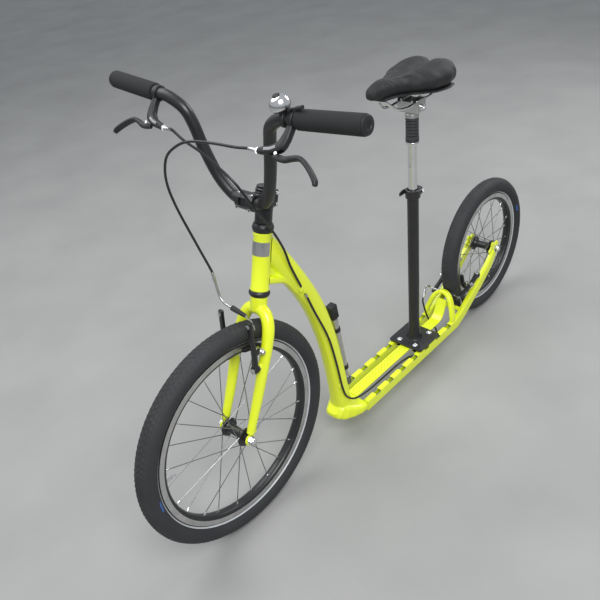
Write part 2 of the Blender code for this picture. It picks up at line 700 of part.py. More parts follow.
deck_strip()
ARCH_HALF = [at(0.0425, 0.7590, DECK_TOP + 2 * GAP), at(0.0422, 0.7600, 0.0930),
    at(0.0375, 0.7650, 0.1100), at(0.0270, 0.7735, 0.1360), at(0.0150, 0.7790, 0.1500)]
arch_path = smooth(ARCH_HALF + [at(0, 0.7810, 0.1550)] + mirrored(ARCH_HALF)[::-1], 2)
swept("rear_arch", YELLOW, arch_path, 0.0095, 0.0060, None, 8, 3.5, Y)
bridge_x = RAIL_MIDDLE - RAIL_WIDTH / 2 - GAP
swept("stay_bridge", YELLOW, [at(bridge_x, 0.806, 0.0930), at(-bridge_x, 0.806, 0.0930)], 0.0065,
    0.0065, None, 12, 2, Y)

# Seat mast on its bolted plate

MAST_LEAN = Vector((0, 0.0225, 0.4235)).normalized()
MAST_FOOT = at(0, 0.6340, PLATE_BOTTOM)
MAST_TOP = 0.432
COLLAR_LOW = 0.418
PLATE_MIDDLE = at(0, 0.6350, PLATE_BOTTOM + PLATE_THICK / 2)
PLATE_HALF = Vector((0.052, 0.047, 0))
POST_FOOT = 0.215


def mast(t, x=0.0, y=0.0):
    """A point t up the mast's axis from the plate's underside."""
    return MAST_FOOT + MAST_LEAN * t + X * x + Y * y


def seat_mast():
    bm = bmesh.new()
    outline = [(0, 0.002), (0.0260, 0.002), (0.0250, 0.008), (0.0185, 0.030), (0.0150, 0.055),
        (MAST_RADIUS, 0.075), (MAST_RADIUS, COLLAR_LOW - GAP), (0.0128, COLLAR_LOW), (0.0128, MAST_TOP),
        (0.0128, MAST_TOP + 0.006), (0, MAST_TOP + 0.006)]
    lathe(bm, outline, MAST_FOOT, MAST_LEAN, 16)
    obj = finish("seat_mast", bm, BLACK_METAL)
    bm = bmesh.new()
    block(bm, PLATE_MIDDLE, (2 * PLATE_HALF.x, 2 * PLATE_HALF.y, PLATE_THICK), bevel=0.0008)
    combine(obj, "UNION", [finish("mast_plate", bm, BLACK_METAL)])
    cut = [turned("mast_bore", mast(POST_FOOT - 0.11), MAST_LEAN, POST_RADIUS + 2 * GAP, 0.5, 16)]
    for i, place in enumerate(plate_bolts()):
        cut.append(turned(f"plate_hole_{i}", place - Z * 0.01, Z, 0.0033, 0.03, 10))
    combine(obj, "DIFFERENCE", cut)


def plate_bolts():
    spots = [(1, -1), (-1, -1), (1, 1), (-1, 1)]
    return [at(0.0250 * a, 0.6350 + 0.0330 * b, PLATE_BOTTOM + PLATE_THICK) for a, b in spots]


seat_mast()
for word, side in (("left", 1), ("right", -1)):
    bm = bmesh.new()
    block(bm, at(0.0252 * side, 0.6350, 0.0735), (0.0160, 0.0860, 0.0050), bevel=0.0006)
    obj = finish(f"plate_clamp_{word}", bm, CHROME)
    bolts = []
    for i, place in enumerate(p for p in plate_bolts() if p.x * side > 0):
        outline = [(0, -0.022), (0.0030, -0.022), (0.0030, GAP), (0.0062, GAP), (0.0062, 0.0025),
            (0.0040, 0.0042), (0, 0.0042)]
        bolts.append(lathed(f"plate_bolt_{word}_{i}", CHROME, outline, place, Z, None, 10))
    combine(obj, "UNION", bolts)


def collar():
    """The split collar that grips the post, with its cross bolt behind."""
    bm = bmesh.new()
    lathe(bm, [(0.0131, COLLAR_LOW + GAP), (0.0175, COLLAR_LOW + GAP), (0.0185, COLLAR_LOW + 0.002),
        (0.0185, COLLAR_LOW + 0.020), (0.0175, COLLAR_LOW + 0.022), (0.0131, COLLAR_LOW + 0.022)],
        MAST_FOOT, MAST_LEAN, 16)
    obj = finish("seat_collar", bm, BLACK_METAL)
    bm = bmesh.new()
    block(bm, mast(COLLAR_LOW + 0.011, 0, 0.0205), (0.0200, 0.0140, 0.0200), (X, Y, Z), 0.0015)
    ears = finish("collar_ears", bm, BLACK_METAL)
    combine(obj, "UNION", [ears])
    slit = boxed("collar_slit", mast(COLLAR_LOW + 0.011, 0, 0.0240), (0.0020, 0.0300, 0.0400))
    bolt = turned("collar_bolt_hole", mast(COLLAR_LOW + 0.011, -0.03, 0.0225), X, 0.0029, 0.06, 12)
    combine(obj, "DIFFERENCE", [slit, bolt])
    lathed("collar_bolt", CHROME, [(0, -0.0165), (0.0026, -0.0165), (0.0026, 0.0103), (0.0050, 0.0103),
        (0.0050, 0.0160), (0.0035, 0.0175), (0, 0.0175)], mast(COLLAR_LOW + 0.011, 0, 0.0225), X, None,
        12)


collar()
lever_pivot = mast(COLLAR_LOW + 0.011, -0.0165, 0.0225)
lever_turn = empty("collar_lever_axis", lever_pivot)
bm = bmesh.new()
disc(bm, lever_pivot - Z * 0.0065, Z, 0.0060, 0.0130, 14)
cam = finish("collar_lever", bm, BLACK_METAL, lever_turn)
handle = [lever_pivot + Vector((-0.002, -0.002, 0)), lever_pivot + Vector((-0.0065, -0.014, 0)),
    lever_pivot + Vector((-0.0085, -0.028, 0)), lever_pivot + Vector((-0.0070, -0.044, 0))]
combine(cam, "UNION", [swept("collar_handle", BLACK_METAL, handle, [0.0050, 0.0055, 0.0065, 0.0060],
    [0.0028, 0.0026, 0.0022, 0.0018], lever_turn, 8, 3, Z)])
cam_slot = boxed("cam_slot", lever_pivot + Vector((0.0075, 0.00855, 0)), (0.0250, 0.0229, 0.0058))
combine(cam, "DIFFERENCE", [cam_slot])

# Seat post, its spring top and the saddle

post_slide = empty("seat_post_axis", mast(COLLAR_LOW))
saddle_spring = empty("saddle_spring_axis", mast(0.565), post_slide)
POST_TOP = 0.560
POST_BORE_FOOT = 0.510
lathed("seat_post", CHROME, [(0, POST_FOOT), (POST_RADIUS, POST_FOOT), (POST_RADIUS, 0.5540),
    (0.0150, 0.5545), (0.0155, 0.5580), (0.0150, POST_TOP), (0.0082, POST_TOP),
    (0.0082, POST_BORE_FOOT), (0, POST_BORE_FOOT)], MAST_FOOT, MAST_LEAN, post_slide, 16)
CLAMP_LOW = 0.6170
PLUNGER_FOOT = 0.5450
lathed("saddle_plunger", STEEL, [(0, PLUNGER_FOOT), (0.0079, PLUNGER_FOOT), (0.0079, CLAMP_LOW),
    (0.0150, CLAMP_LOW), (0.0160, CLAMP_LOW + 0.002), (0.0160, CLAMP_LOW + 0.010),
    (0.0130, CLAMP_LOW + 0.013), (0, CLAMP_LOW + 0.013)], MAST_FOOT, MAST_LEAN, saddle_spring, 16)
BELLOWS_LOW = POST_TOP + GAP
BELLOWS_HIGH = CLAMP_LOW - GAP


def bellows_outline():
    """A plain cup below and six folds above, in a thin rubber wall."""
    outer = [(0.0158, BELLOWS_LOW), (0.0158, BELLOWS_LOW + 0.014)]
    folds = 6
    pitch = (BELLOWS_HIGH - BELLOWS_LOW - 0.014) / folds
    for i in range(folds):
        base = BELLOWS_LOW + 0.014 + pitch * i
        outer += [(0.0133, base + pitch * 0.15), (0.0155, base + pitch * 0.6), (0.0133, base + pitch)]
    outer[-1] = (0.0145, BELLOWS_HIGH)
    return [(0.0122, BELLOWS_LOW)] + outer + [(0.0122, BELLOWS_HIGH)]


lathed("rubber_bellows", BLACK_PLASTIC, bellows_outline(), MAST_FOOT, MAST_LEAN, saddle_spring, 12)


def spring():
    across, other = frame_along(MAST_LEAN)
    turns, steps = 5, 8
    low, high = BELLOWS_LOW + 0.0015, BELLOWS_HIGH - 0.0015
    path = []
    for i in range(turns * steps + 1):
        angle = 2 * math.pi * i / steps
        height = low + (high - low) * i / (turns * steps)
        path.append(mast(height) + (across * math.cos(angle) + other * math.sin(angle)) * 0.0101)
    swept("saddle_spring", STEEL, path, 0.0011, body=saddle_spring, count=4)


spring()

RAIL_ROD = 0.0034
SADDLE_RAIL_X = 0.0215
rod_half = [at(SADDLE_RAIL_X, 0.7480, 0.7565), at(SADDLE_RAIL_X, 0.7300, 0.7475),
    at(SADDLE_RAIL_X, 0.7080, 0.7420), at(SADDLE_RAIL_X, 0.6950, 0.7420),
    at(SADDLE_RAIL_X, 0.6400, 0.7420), at(SADDLE_RAIL_X, 0.6200, 0.7420), at(0.0190, 0.5870, 0.7490),
    at(0.0110, 0.5620, 0.7700), at(0.0040, 0.5560, 0.7770)]
swept("saddle_rails", CHROME, smooth(rod_half + mirrored(rod_half)[::-1], 2), RAIL_ROD,
    body=saddle_spring, count=6, side=Z)


def saddle_clamp():
    """The two cheeks and cradle that hold the rods, crossed by one bolt."""
    base = mast(CLAMP_LOW + 0.013 + GAP)
    top = 0.7500
    bm = bmesh.new()
    block(bm, Vector((0, base.y - 0.001, (base.z + 0.002 + top) / 2)),
        (0.0560, 0.0360, top - base.z - 0.002), bevel=0.003)
    obj = finish("saddle_clamp", bm, STEEL, saddle_spring)
    cut = []
    for side in (1, -1):
        x = SADDLE_RAIL_X * side
        cut.append(turned(f"rod_groove_{side}", Vector((x, base.y - 0.04, 0.7420)), Y, RAIL_ROD + GAP,
            0.08, 12, saddle_spring))
        cut.append(boxed(f"rod_mouth_{side}", Vector((x, base.y, 0.7420 + 0.010)),
            (2 * (RAIL_ROD + GAP) - 0.0004, 0.08, 0.020)))
    combine(obj, "DIFFERENCE", cut)
    bolt = lathed("saddle_clamp_bolt", CHROME, [(0, -0.0340), (0.0060, -0.0340), (0.0060, 0.0320),
        (0, 0.0320)], Vector((0, base.y - 0.001, 0.7300)), X, saddle_spring, 12)
    combine(obj, "UNION", [bolt])


saddle_clamp()

# Saddle: (distance behind the front hub, half width, top, base)
SADDLE = [
    (0.5140, 0.0100, 0.8080, 0.7960),
    (0.5210, 0.0200, 0.8150, 0.7840),
    (0.5420, 0.0270, 0.8170, 0.7800),
    (0.5750, 0.0330, 0.8160, 0.7780),
    (0.6080, 0.0440, 0.8120, 0.7740),
    (0.6400, 0.0640, 0.8100, 0.7690),
    (0.6750, 0.0790, 0.8110, 0.7630),
    (0.7150, 0.0820, 0.8130, 0.7590),
    (0.7450, 0.0750, 0.8130, 0.7580),
    (0.7650, 0.0580, 0.8090, 0.7620),
    (0.7760, 0.0300, 0.8030, 0.7700),
]


def saddle():
    shell, cushion = bmesh.new(), bmesh.new()
    shell_rings, cushion_rings = [], []
    for y, half, top, low in SADDLE:
        middle = low + 0.0040
        shell_rings.append(ring_points(at(0, y, middle), X, Z, half * 0.90, 0.0035, 12, 3))
        centre = (top + low + 0.0085) / 2
        cushion_rings.append(ring_points(at(0, y, centre), X, Z, half, (top - low - 0.0085) / 2, 16,
            2.6))
    skin(shell, shell_rings[1:-1])
    skin(cushion, cushion_rings)
    obj = finish("saddle_shell", shell, BLACK_PLASTIC, saddle_spring)
    rods = []
    for i, (y, z) in enumerate(((0.7480, 0.7540), (0.5600, 0.7750))):
        bm = bmesh.new()
        block(bm, at(0, y, z), (0.052 if i == 0 else 0.030, 0.020, 0.018))
        rods.append(finish(f"rod_room_{i}", bm, STEEL, saddle_spring))
    combine(obj, "DIFFERENCE", rods)
    finish("saddle_cushion", cushion, FABRIC, saddle_spring)


saddle()

# Pump on the back of the down tube
pump_low, pump_high = at(0, 0.3515, 0.128), at(0, 0.3295, 0.343)
pump_along = (pump_high - pump_low).normalized()
lathed("pump_barrel", STEEL, [(0, 0), (0.0080, 0), (0.0090, 0.002), (0.0090, 0.2120), (0.0085, 0.2140),
    (0, 0.2140)], pump_low, pump_along, None, 16)
bm = bmesh.new()
block(bm, pump_low + pump_along * 0.2345, (0.0200, 0.0220, 0.0390),
    (X, Vector((0, pump_along.z, -pump_along.y)), pump_along), 0.003)
finish("pump_head", bm, BLACK_PLASTIC)

# Rim brakes


def v_brake(prefix, side, parent, pivot, along, outward, pad_centre, pad_along, tip):
    """One arm: a barrel on the boss, the arm up to the cable, and the pad's stud. Both ends lie along it."""
    word = "left" if side > 0 else "right"
    turn = empty(f"{prefix}_{word}_axis", pivot, parent)
    bm = bmesh.new()
    disc(bm, pivot + outward * 0.0060, outward, 0.0088, 0.0120, 14)
    obj = finish(f"{prefix}_{word}", bm, BLACK_METAL, turn)
    lift = outward * 0.0120
    length = (tip - pivot).length
    path = [pivot + lift + along * 0.004, pivot + lift + along * 0.3 * length + X * side * 0.0030,
        pivot + lift + along * 0.62 * length + X * side * 0.0020, tip + lift]
    arm = swept(f"{prefix}_arm_{word}", BLACK_METAL, smooth(path, 2),
        spread([0.0070, 0.0062, 0.0055, 0.0062], 2), spread([0.0055, 0.0048, 0.0042, 0.0038], 2), turn,
        8, 3, X)
    face = pad_centre + X * side * 0.0030
    level = pivot + lift + along * (pad_centre - pivot).dot(along)
    stud = swept(f"{prefix}_stud_{word}", BLACK_METAL, [face,
        Vector((level.x + 0.0040 * side, face.y, face.z))], 0.0040, 0.0040, turn, 8, 2, Y)
    web = swept(f"{prefix}_web_{word}", BLACK_METAL, [Vector((level.x, face.y, face.z)),
        Vector((level.x + 0.002 * side, level.y, level.z))], 0.0060, 0.0045, turn, 8, 2, X)
    bm = bmesh.new()
    block(bm, pad_centre, (0.0100, 0.0520, 0.0090), (X, pad_along, X.cross(pad_along)), 0.0015)
    pad = finish(f"{prefix}_pad_{word}", bm, BLACK_PLASTIC, turn)
    combine(obj, "UNION", [arm, stud, web, pad])
    combine(obj, "DIFFERENCE", [turned(f"{prefix}_hole_{word}", pivot - outward * 0.01, outward, 0.0053,
        0.04, 14, turn)])


PAD_REST = 0.0150 + 0.0050
for side in (1, -1):
    pivot = front_brake_pivot(side)
    boss = Vector((pivot.x, pivot.y, pivot.z))
    pad_spot = FRONT_HUB + Vector((side * PAD_REST, 0.0700, 0.1890))
    tip = at(0.0400 * side, 0.0700, 0.5130)
    v_brake("front_brake", side, steering, boss, (tip - boss).normalized(), -Y, pad_spot,
        Vector((0, 0.938, -0.3465)).normalized(), tip)
    pivot = rear_brake_pivot(side)
    tip = at(0.0400 * side, 0.7920, 0.1230)
    pad_spot = REAR_HUB + Vector((side * PAD_REST, -0.1420, -0.0440))
    v_brake("rear_brake", side, None, pivot, (tip - pivot).normalized(), REAR_BOSS_AXIS, pad_spot,
        Vector((0, -0.296, 0.955)).normalized(), tip)

# Cables, as smooth routes through points laid by hand

CABLE_RADIUS = 0.0025


def cable(name, points, steps, body, radius=CABLE_RADIUS):
    curve = bpy.data.curves.new(name, "CURVE")
    curve.dimensions = "3D"
    curve.bevel_depth = radius
    curve.bevel_resolution = 2
    curve.use_fill_caps = True
    path = smooth(points, steps)
    spline = curve.splines.new("POLY")
    spline.points.add(len(path) - 1)
    base = body.matrix_world.translation if body else Vector()
    for spot, point in zip(spline.points, path):
        spot.co = (*(point - base), 1)
    curve.materials.append(BLACK_PLASTIC)
    obj = bpy.data.objects.new(name, curve)
    bpy.context.collection.objects.link(obj)
    obj.parent = body
    return obj


FRONT_CABLE = [lever_point(0.1095, 0.060, 1), lever_point(0.0980, 0.060, 1), at(0.075, 0.0780, 0.8670),
    at(0.030, 0.0700, 0.8690), at(-0.016, 0.0600, 0.8680), at(-0.050, 0.0540, 0.8560),
    at(-0.083, 0.0500, 0.8300), at(-0.1010, 0.0500, 0.7850), at(-0.0995, 0.0550, 0.7310),
    at(-0.0770, 0.0640, 0.6520), at(-0.0580, 0.0700, 0.5950), at(-0.0550, 0.0700, 0.5800)]
FRONT_NOODLE = [at(-0.0549, 0.0700, 0.5793), at(-0.0530, 0.0700, 0.5600), at(-0.0490, 0.0690, 0.5400),
    at(-0.0400, 0.0680, 0.5280), at(-0.0260, 0.0680, 0.5240), at(0.0050, 0.0660, 0.5225),
    at(0.0300, 0.0640, 0.5215)]
REAR_CABLE_UPPER = [lever_point(0.1095, 0.060, -1), lever_point(0.0980, 0.060, -1),
    at(-0.0750, 0.0900, 0.8480), at(-0.0450, 0.0970, 0.8300), at(-0.0100, 0.0990, 0.8100),
    at(0.0220, 0.1030, 0.7850), at(0.0340, 0.1130, 0.7550), at(0.0350, 0.1330, 0.7130),
    at(0.0310, 0.1660, 0.6560), at(0.0280, 0.1880, 0.6060), at(0.0260, 0.2000, 0.5600),
    at(0.0252, 0.2180, 0.5080), at(0.0252, 0.2206, 0.4990)]
REAR_CABLE_LOWER = [at(0.0252, 0.2300, 0.4760), at(0.0252, 0.2480, 0.4200), at(0.0252, 0.2790, 0.3300),
    at(0.0252, 0.2940, 0.2450), at(0.0262, 0.3020, 0.1700), at(0.0275, 0.3120, 0.1290),
    at(0.0285, 0.3400, 0.1010), at(0.0270, 0.3900, 0.0870), at(0.0252, 0.4500, 0.0820),
    at(0.0252, 0.5300, 0.0800), at(0.0252, 0.5700, 0.0720), at(0.0252, 0.5950, 0.0640),
    at(0.0252, 0.6900, 0.0620), at(0.0100, 0.7250, 0.0600), at(-0.0120, 0.7350, 0.0640),
    at(-0.0240, 0.7370, 0.0800), at(-0.0330, 0.7370, 0.1030), at(-0.0430, 0.7410, 0.1300),
    at(-0.0460, 0.7520, 0.1440)]
REAR_NOODLE = [at(-0.0462, 0.7526, 0.1446), at(-0.0500, 0.7640, 0.1540), at(-0.0540, 0.7780, 0.1570),
    at(-0.0500, 0.7890, 0.1500), at(-0.0400, 0.7925, 0.1450), at(-0.0150, 0.7930, 0.1440),
    at(0.0150, 0.7930, 0.1440), at(0.0300, 0.7925, 0.1440)]
cable("front_cable", FRONT_CABLE, 3, steering)
cable("front_noodle", FRONT_NOODLE, 3, steering, 0.0027)
cable("rear_cable_upper", REAR_CABLE_UPPER, 3, steering)
cable("rear_cable", REAR_CABLE_LOWER, 3, None)
cable("rear_noodle", REAR_NOODLE, 3, None, 0.0027)
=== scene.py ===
# %% [markdown]
# # A foot scooter, piece by piece
# The imported model gives the frame: every solid, where it is and what it moves with. This script keeps
# those places and gives each piece the shape and finish that the real one has. It loads the frame and
# notes its size.

# %% Load the frame
import math

import bmesh
import bpy
from mathutils import Matrix, Vector


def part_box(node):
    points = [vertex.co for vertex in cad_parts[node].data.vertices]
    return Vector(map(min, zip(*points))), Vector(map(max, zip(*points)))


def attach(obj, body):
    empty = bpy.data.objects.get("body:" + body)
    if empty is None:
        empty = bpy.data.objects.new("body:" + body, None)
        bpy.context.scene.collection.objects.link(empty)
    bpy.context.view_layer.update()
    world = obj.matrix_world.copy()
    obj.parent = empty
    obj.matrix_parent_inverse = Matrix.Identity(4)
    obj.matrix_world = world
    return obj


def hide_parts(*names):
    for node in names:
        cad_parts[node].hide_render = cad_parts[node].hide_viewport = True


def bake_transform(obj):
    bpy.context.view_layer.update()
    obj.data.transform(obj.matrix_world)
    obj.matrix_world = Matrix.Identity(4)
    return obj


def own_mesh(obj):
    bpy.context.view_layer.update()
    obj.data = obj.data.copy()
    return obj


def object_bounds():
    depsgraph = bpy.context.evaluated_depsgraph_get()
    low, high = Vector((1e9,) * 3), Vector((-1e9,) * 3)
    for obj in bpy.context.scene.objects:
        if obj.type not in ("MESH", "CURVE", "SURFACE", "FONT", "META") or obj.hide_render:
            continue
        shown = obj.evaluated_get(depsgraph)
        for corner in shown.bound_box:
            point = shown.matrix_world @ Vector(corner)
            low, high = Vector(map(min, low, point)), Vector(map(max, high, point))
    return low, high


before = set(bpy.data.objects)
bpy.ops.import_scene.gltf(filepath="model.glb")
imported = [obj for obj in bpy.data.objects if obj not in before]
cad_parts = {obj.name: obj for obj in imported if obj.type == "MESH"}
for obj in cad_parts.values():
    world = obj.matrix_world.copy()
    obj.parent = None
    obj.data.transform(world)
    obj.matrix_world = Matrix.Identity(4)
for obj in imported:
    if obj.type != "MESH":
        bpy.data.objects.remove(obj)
cad_low, cad_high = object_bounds()
X, Y, Z = Vector((1, 0, 0)), Vector((0, 1, 0)), Vector((0, 0, 1))


def middle(node):
    low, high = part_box(node)
    return (low + high) / 2


FRONT_HUB = middle("front_tyre")
REAR_HUB = middle("rear_tyre")
print("wheelbase", round(REAR_HUB.y - FRONT_HUB.y, 3), "m")

# %% [markdown]
# ## Places
# Everything along the scooter is easiest to say as a distance behind the front hub. What turns with the
# bar is easiest to say along the steering axis, so there is a second helper for that. Both give world
# points.

# %% Two ways to say where a point is
HEAD_ANGLE = math.radians(72.9)
FORK_OFFSET = 0.0426
STEER_UP = Vector((0, math.cos(HEAD_ANGLE), math.sin(HEAD_ANGLE)))
STEER_FORWARD = Vector((0, -math.sin(HEAD_ANGLE), math.cos(HEAD_ANGLE)))
STEER_FOOT = FRONT_HUB - STEER_FORWARD * FORK_OFFSET
STEER_AXES = (X, STEER_FORWARD, STEER_UP)
WORLD_AXES = (X, Y, Z)


def at(x, y, z):
    return Vector((x, FRONT_HUB.y + y, z))


def steer(x, forward, up):
    return STEER_FOOT + X * x + STEER_FORWARD * forward + STEER_UP * up


def mirrored(points):
    return [Vector((-p.x, p.y, p.z)) for p in points]


print("steering axis, half a metre up:", steer(0, 0, 0.5))

# %% [markdown]
# ## Camera, floor and light
# The camera stands to the front left of the scooter and looks down on it. A large soft light from the
# left and above, weaker ones from the right and from behind, and a pale sky give long soft highlights.

# %% Camera
CAMERA_PLACE = at(0.90765, -0.59458, 1.26839)
CAMERA_RIGHT = Vector((0.73652, 0.66484, -0.12459))
CAMERA_UP = Vector((-0.29703, 0.48338, 0.82348))

camera_data = bpy.data.cameras.new("camera")
camera_data.lens = 41.51
camera_data.sensor_width = 36
camera_data.shift_x = -0.0116
camera_data.shift_y = -0.0038
camera = bpy.data.objects.new("camera", camera_data)
bpy.context.scene.collection.objects.link(camera)
back = CAMERA_RIGHT.cross(CAMERA_UP).normalized()
turn = Matrix((CAMERA_RIGHT, CAMERA_UP, back)).transposed().to_4x4()
camera.matrix_world = Matrix.Translation(CAMERA_PLACE) @ turn
bpy.context.scene.camera = camera
print("camera at", camera.location)

# %% Light
world = bpy.data.worlds.new("sky")
bpy.context.scene.world = world
world.use_nodes = True
world.node_tree.nodes["Background"].inputs["Color"].default_value = (0.82, 0.86, 0.92, 1)
world.node_tree.nodes["Background"].inputs["Strength"].default_value = 0.55
bpy.context.scene.view_settings.view_transform = "Standard"


def area_light(name, place, aim, size, power):
    data = bpy.data.lights.new(name, "AREA")
    data.shape = "DISK"
    data.size = size
    data.energy = power
    lamp = bpy.data.objects.new(name, data)
    bpy.context.scene.collection.objects.link(lamp)
    lamp.location = place
    lamp.rotation_euler = (aim - place).to_track_quat("-Z", "Y").to_euler()


centre = (cad_low + cad_high) / 2
area_light("key_light", Vector((1.6, -1.2, 2.6)), centre, 1.8, 62)
area_light("sky_light", Vector((-1.5, -0.6, 2.8)), centre, 2.4, 42)
area_light("rim_light", Vector((0.3, 2.4, 2.0)), centre, 1.4, 26)
print("3 lights")

# %% [markdown]
# ## Shader groups
# A few effects come back in almost every finish: the fine unevenness of a surface, and a little dust or
# wear that changes colour and gloss from place to place. Each is made once as a node group with its own
# sockets, and each material then sets its own numbers.

# %% Node group helpers


def new_group(name, inputs, outputs):
    group = bpy.data.node_groups.new(name, "ShaderNodeTree")
    for label, kind, value in inputs:
        socket = group.interface.new_socket(label, in_out="INPUT", socket_type=kind)
        socket.default_value = value
    for label, kind in outputs:
        group.interface.new_socket(label, in_out="OUTPUT", socket_type=kind)
    nodes = group.nodes
    return group, nodes.new("NodeGroupInput"), nodes.new("NodeGroupOutput")


def noise_node(tree, scale, detail=3.0):
    node = tree.nodes.new("ShaderNodeTexNoise")
    node.inputs["Scale"].default_value = scale
    node.inputs["Detail"].default_value = detail
    return node


def bump_group():
    """Noise as a normal: how coarse it is, and how deep."""
    group, given, put = new_group(
        "uneven_surface",
        [("Scale", "NodeSocketFloat", 400.0), ("Depth", "NodeSocketFloat", 0.0002)],
        [("Normal", "NodeSocketVector")],
    )
    place = group.nodes.new("ShaderNodeTexCoord")
    noise = noise_node(group, 1.0)
    bump = group.nodes.new("ShaderNodeBump")
    bump.inputs["Strength"].default_value = 1.0
    group.links.new(place.outputs["Object"], noise.inputs["Vector"])
    group.links.new(given.outputs["Scale"], noise.inputs["Scale"])
    group.links.new(given.outputs["Depth"], bump.inputs["Distance"])
    group.links.new(noise.outputs["Fac"], bump.inputs["Height"])
    group.links.new(bump.outputs["Normal"], put.inputs["Normal"])
    return group


def dust_group():
    """Two colours mixed by a soft noise, and a roughness that follows it."""
    group, given, put = new_group(
        "dusted_surface",
        [
            ("Clean", "NodeSocketColor", (0.5, 0.5, 0.5, 1)),
            ("Dusty", "NodeSocketColor", (0.6, 0.6, 0.55, 1)),
            ("Amount", "NodeSocketFloat", 0.3),
            ("Scale", "NodeSocketFloat", 12.0),
            ("Roughness", "NodeSocketFloat", 0.4),
            ("Roughness Change", "NodeSocketFloat", 0.15),
        ],
        [("Color", "NodeSocketColor"), ("Roughness", "NodeSocketFloat")],
    )
    place = group.nodes.new("ShaderNodeTexCoord")
    coarse = noise_node(group, 1.0, 6.0)
    spread = group.nodes.new("ShaderNodeMapRange")
    spread.inputs["From Min"].default_value = 0.35
    spread.inputs["From Max"].default_value = 0.75
    share = group.nodes.new("ShaderNodeMath")
    share.operation = "MULTIPLY"
    mix = group.nodes.new("ShaderNodeMix")
    mix.data_type = "RGBA"
    rough = group.nodes.new("ShaderNodeMath")
    rough.operation = "MULTIPLY_ADD"
    link = group.links.new
    link(place.outputs["Object"], coarse.inputs["Vector"])
    link(given.outputs["Scale"], coarse.inputs["Scale"])
    link(coarse.outputs["Fac"], spread.inputs["Value"])
    link(spread.outputs["Result"], share.inputs[0])
    link(given.outputs["Amount"], share.inputs[1])
    link(share.outputs["Value"], mix.inputs["Factor"])
    link(given.outputs["Clean"], mix.inputs["A"])
    link(given.outputs["Dusty"], mix.inputs["B"])
    link(mix.outputs["Result"], put.inputs["Color"])
    link(spread.outputs["Result"], rough.inputs[0])
    link(given.outputs["Roughness Change"], rough.inputs[1])
    link(given.outputs["Roughness"], rough.inputs[2])
    link(rough.outputs["Value"], put.inputs["Roughness"])
    return group


BUMP_GROUP = bump_group()
DUST_GROUP = dust_group()
print("groups:", [g.name for g in bpy.data.node_groups])

# %% [markdown]
# ## Finishes
# Paint is a colour under a clear coat. Satin black, foam, rubber and moulded plastic differ mostly in how
# rough they are and how fine their grain is, so one maker with a few numbers serves them all.

# %% A finish from a few numbers


def finish(name, clean, dusty, amount, rough, change, scale, grain, depth, **sockets):
    mat = bpy.data.materials.new(name)
    mat.use_nodes = True
    tree = mat.node_tree
    shader = tree.nodes["Principled BSDF"]
    dust = tree.nodes.new("ShaderNodeGroup")
    dust.node_tree = DUST_GROUP
    dust.inputs["Clean"].default_value = (*clean, 1)
    dust.inputs["Dusty"].default_value = (*dusty, 1)
    dust.inputs["Amount"].default_value = amount
    dust.inputs["Scale"].default_value = scale
    dust.inputs["Roughness"].default_value = rough
    dust.inputs["Roughness Change"].default_value = change
    tree.links.new(dust.outputs["Color"], shader.inputs["Base Color"])
    tree.links.new(dust.outputs["Roughness"], shader.inputs["Roughness"])
    if depth:
        bump = tree.nodes.new("ShaderNodeGroup")
        bump.node_tree = BUMP_GROUP
        bump.inputs["Scale"].default_value = grain
        bump.inputs["Depth"].default_value = depth
        tree.links.new(bump.outputs["Normal"], shader.inputs["Normal"])
    for socket, value in sockets.items():
        shader.inputs[socket.replace("_", " ")].default_value = value
    return mat


YELLOW = finish("yellow_paint", (0.84, 0.95, 0.020), (0.76, 0.84, 0.03), 0.35, 0.30, 0.10, 9, 260,
    0.00006, Coat_Weight=0.6, Coat_Roughness=0.12)
BLACK = finish("satin_black_paint", (0.009, 0.009, 0.010), (0.028, 0.028, 0.027), 0.22, 0.34, 0.16, 22,
    900, 0.00003, Coat_Weight=0.2, Coat_Roughness=0.25)
PLASTIC = finish("moulded_plastic", (0.010, 0.010, 0.011), (0.026, 0.026, 0.026), 0.25, 0.46, 0.14, 30,
    1500, 0.00004)
CABLE = finish("cable_housing", (0.012, 0.012, 0.013), (0.03, 0.03, 0.03), 0.2, 0.30, 0.1, 40, 600,
    0.00002)
FOAM = finish("grip_foam", (0.011, 0.011, 0.012), (0.028, 0.028, 0.028), 0.35, 0.82, 0.12, 60, 1800,
    0.00035)
RUBBER = finish("tyre_rubber", (0.020, 0.021, 0.024), (0.060, 0.060, 0.058), 0.30, 0.62, 0.2, 14, 700,
    0.00008)
TREAD = finish("tread_rubber", (0.024, 0.025, 0.028), (0.075, 0.074, 0.070), 0.50, 0.75, 0.15, 26, 900,
    0.00012)
STRIPE = finish("reflective_band", (0.62, 0.64, 0.66), (0.50, 0.50, 0.48), 0.4, 0.35, 0.2, 30, 1500,
    0.00002, Metallic=0.3)
TRACK = finish("machined_track", (0.62, 0.62, 0.61), (0.30, 0.30, 0.29), 0.45, 0.28, 0.2, 45, 2200,
    0.00004, Metallic=0.95)
CHROME = finish("polished_metal", (0.80, 0.80, 0.80), (0.62, 0.62, 0.60), 0.25, 0.09, 0.12, 35, 900,
    0.00001, Metallic=1.0)
STEEL = finish("satin_metal", (0.58, 0.58, 0.57), (0.40, 0.40, 0.39), 0.35, 0.26, 0.16, 40, 1400, 0.00003,
    Metallic=1.0)
BLUE = finish("blue_patch", (0.03, 0.12, 0.42), (0.10, 0.16, 0.35), 0.4, 0.55, 0.1, 60, 900, 0.00002)
GREY = finish("grey_patch", (0.28, 0.29, 0.30), (0.20, 0.20, 0.20), 0.4, 0.5, 0.1, 60, 900, 0.00002)
COVER = finish("saddle_cover", (0.007, 0.007, 0.008), (0.018, 0.018, 0.018), 0.3, 0.62, 0.12, 26, 2600,
    0.00012, Sheen_Weight=0.06, Sheen_Roughness=0.4)
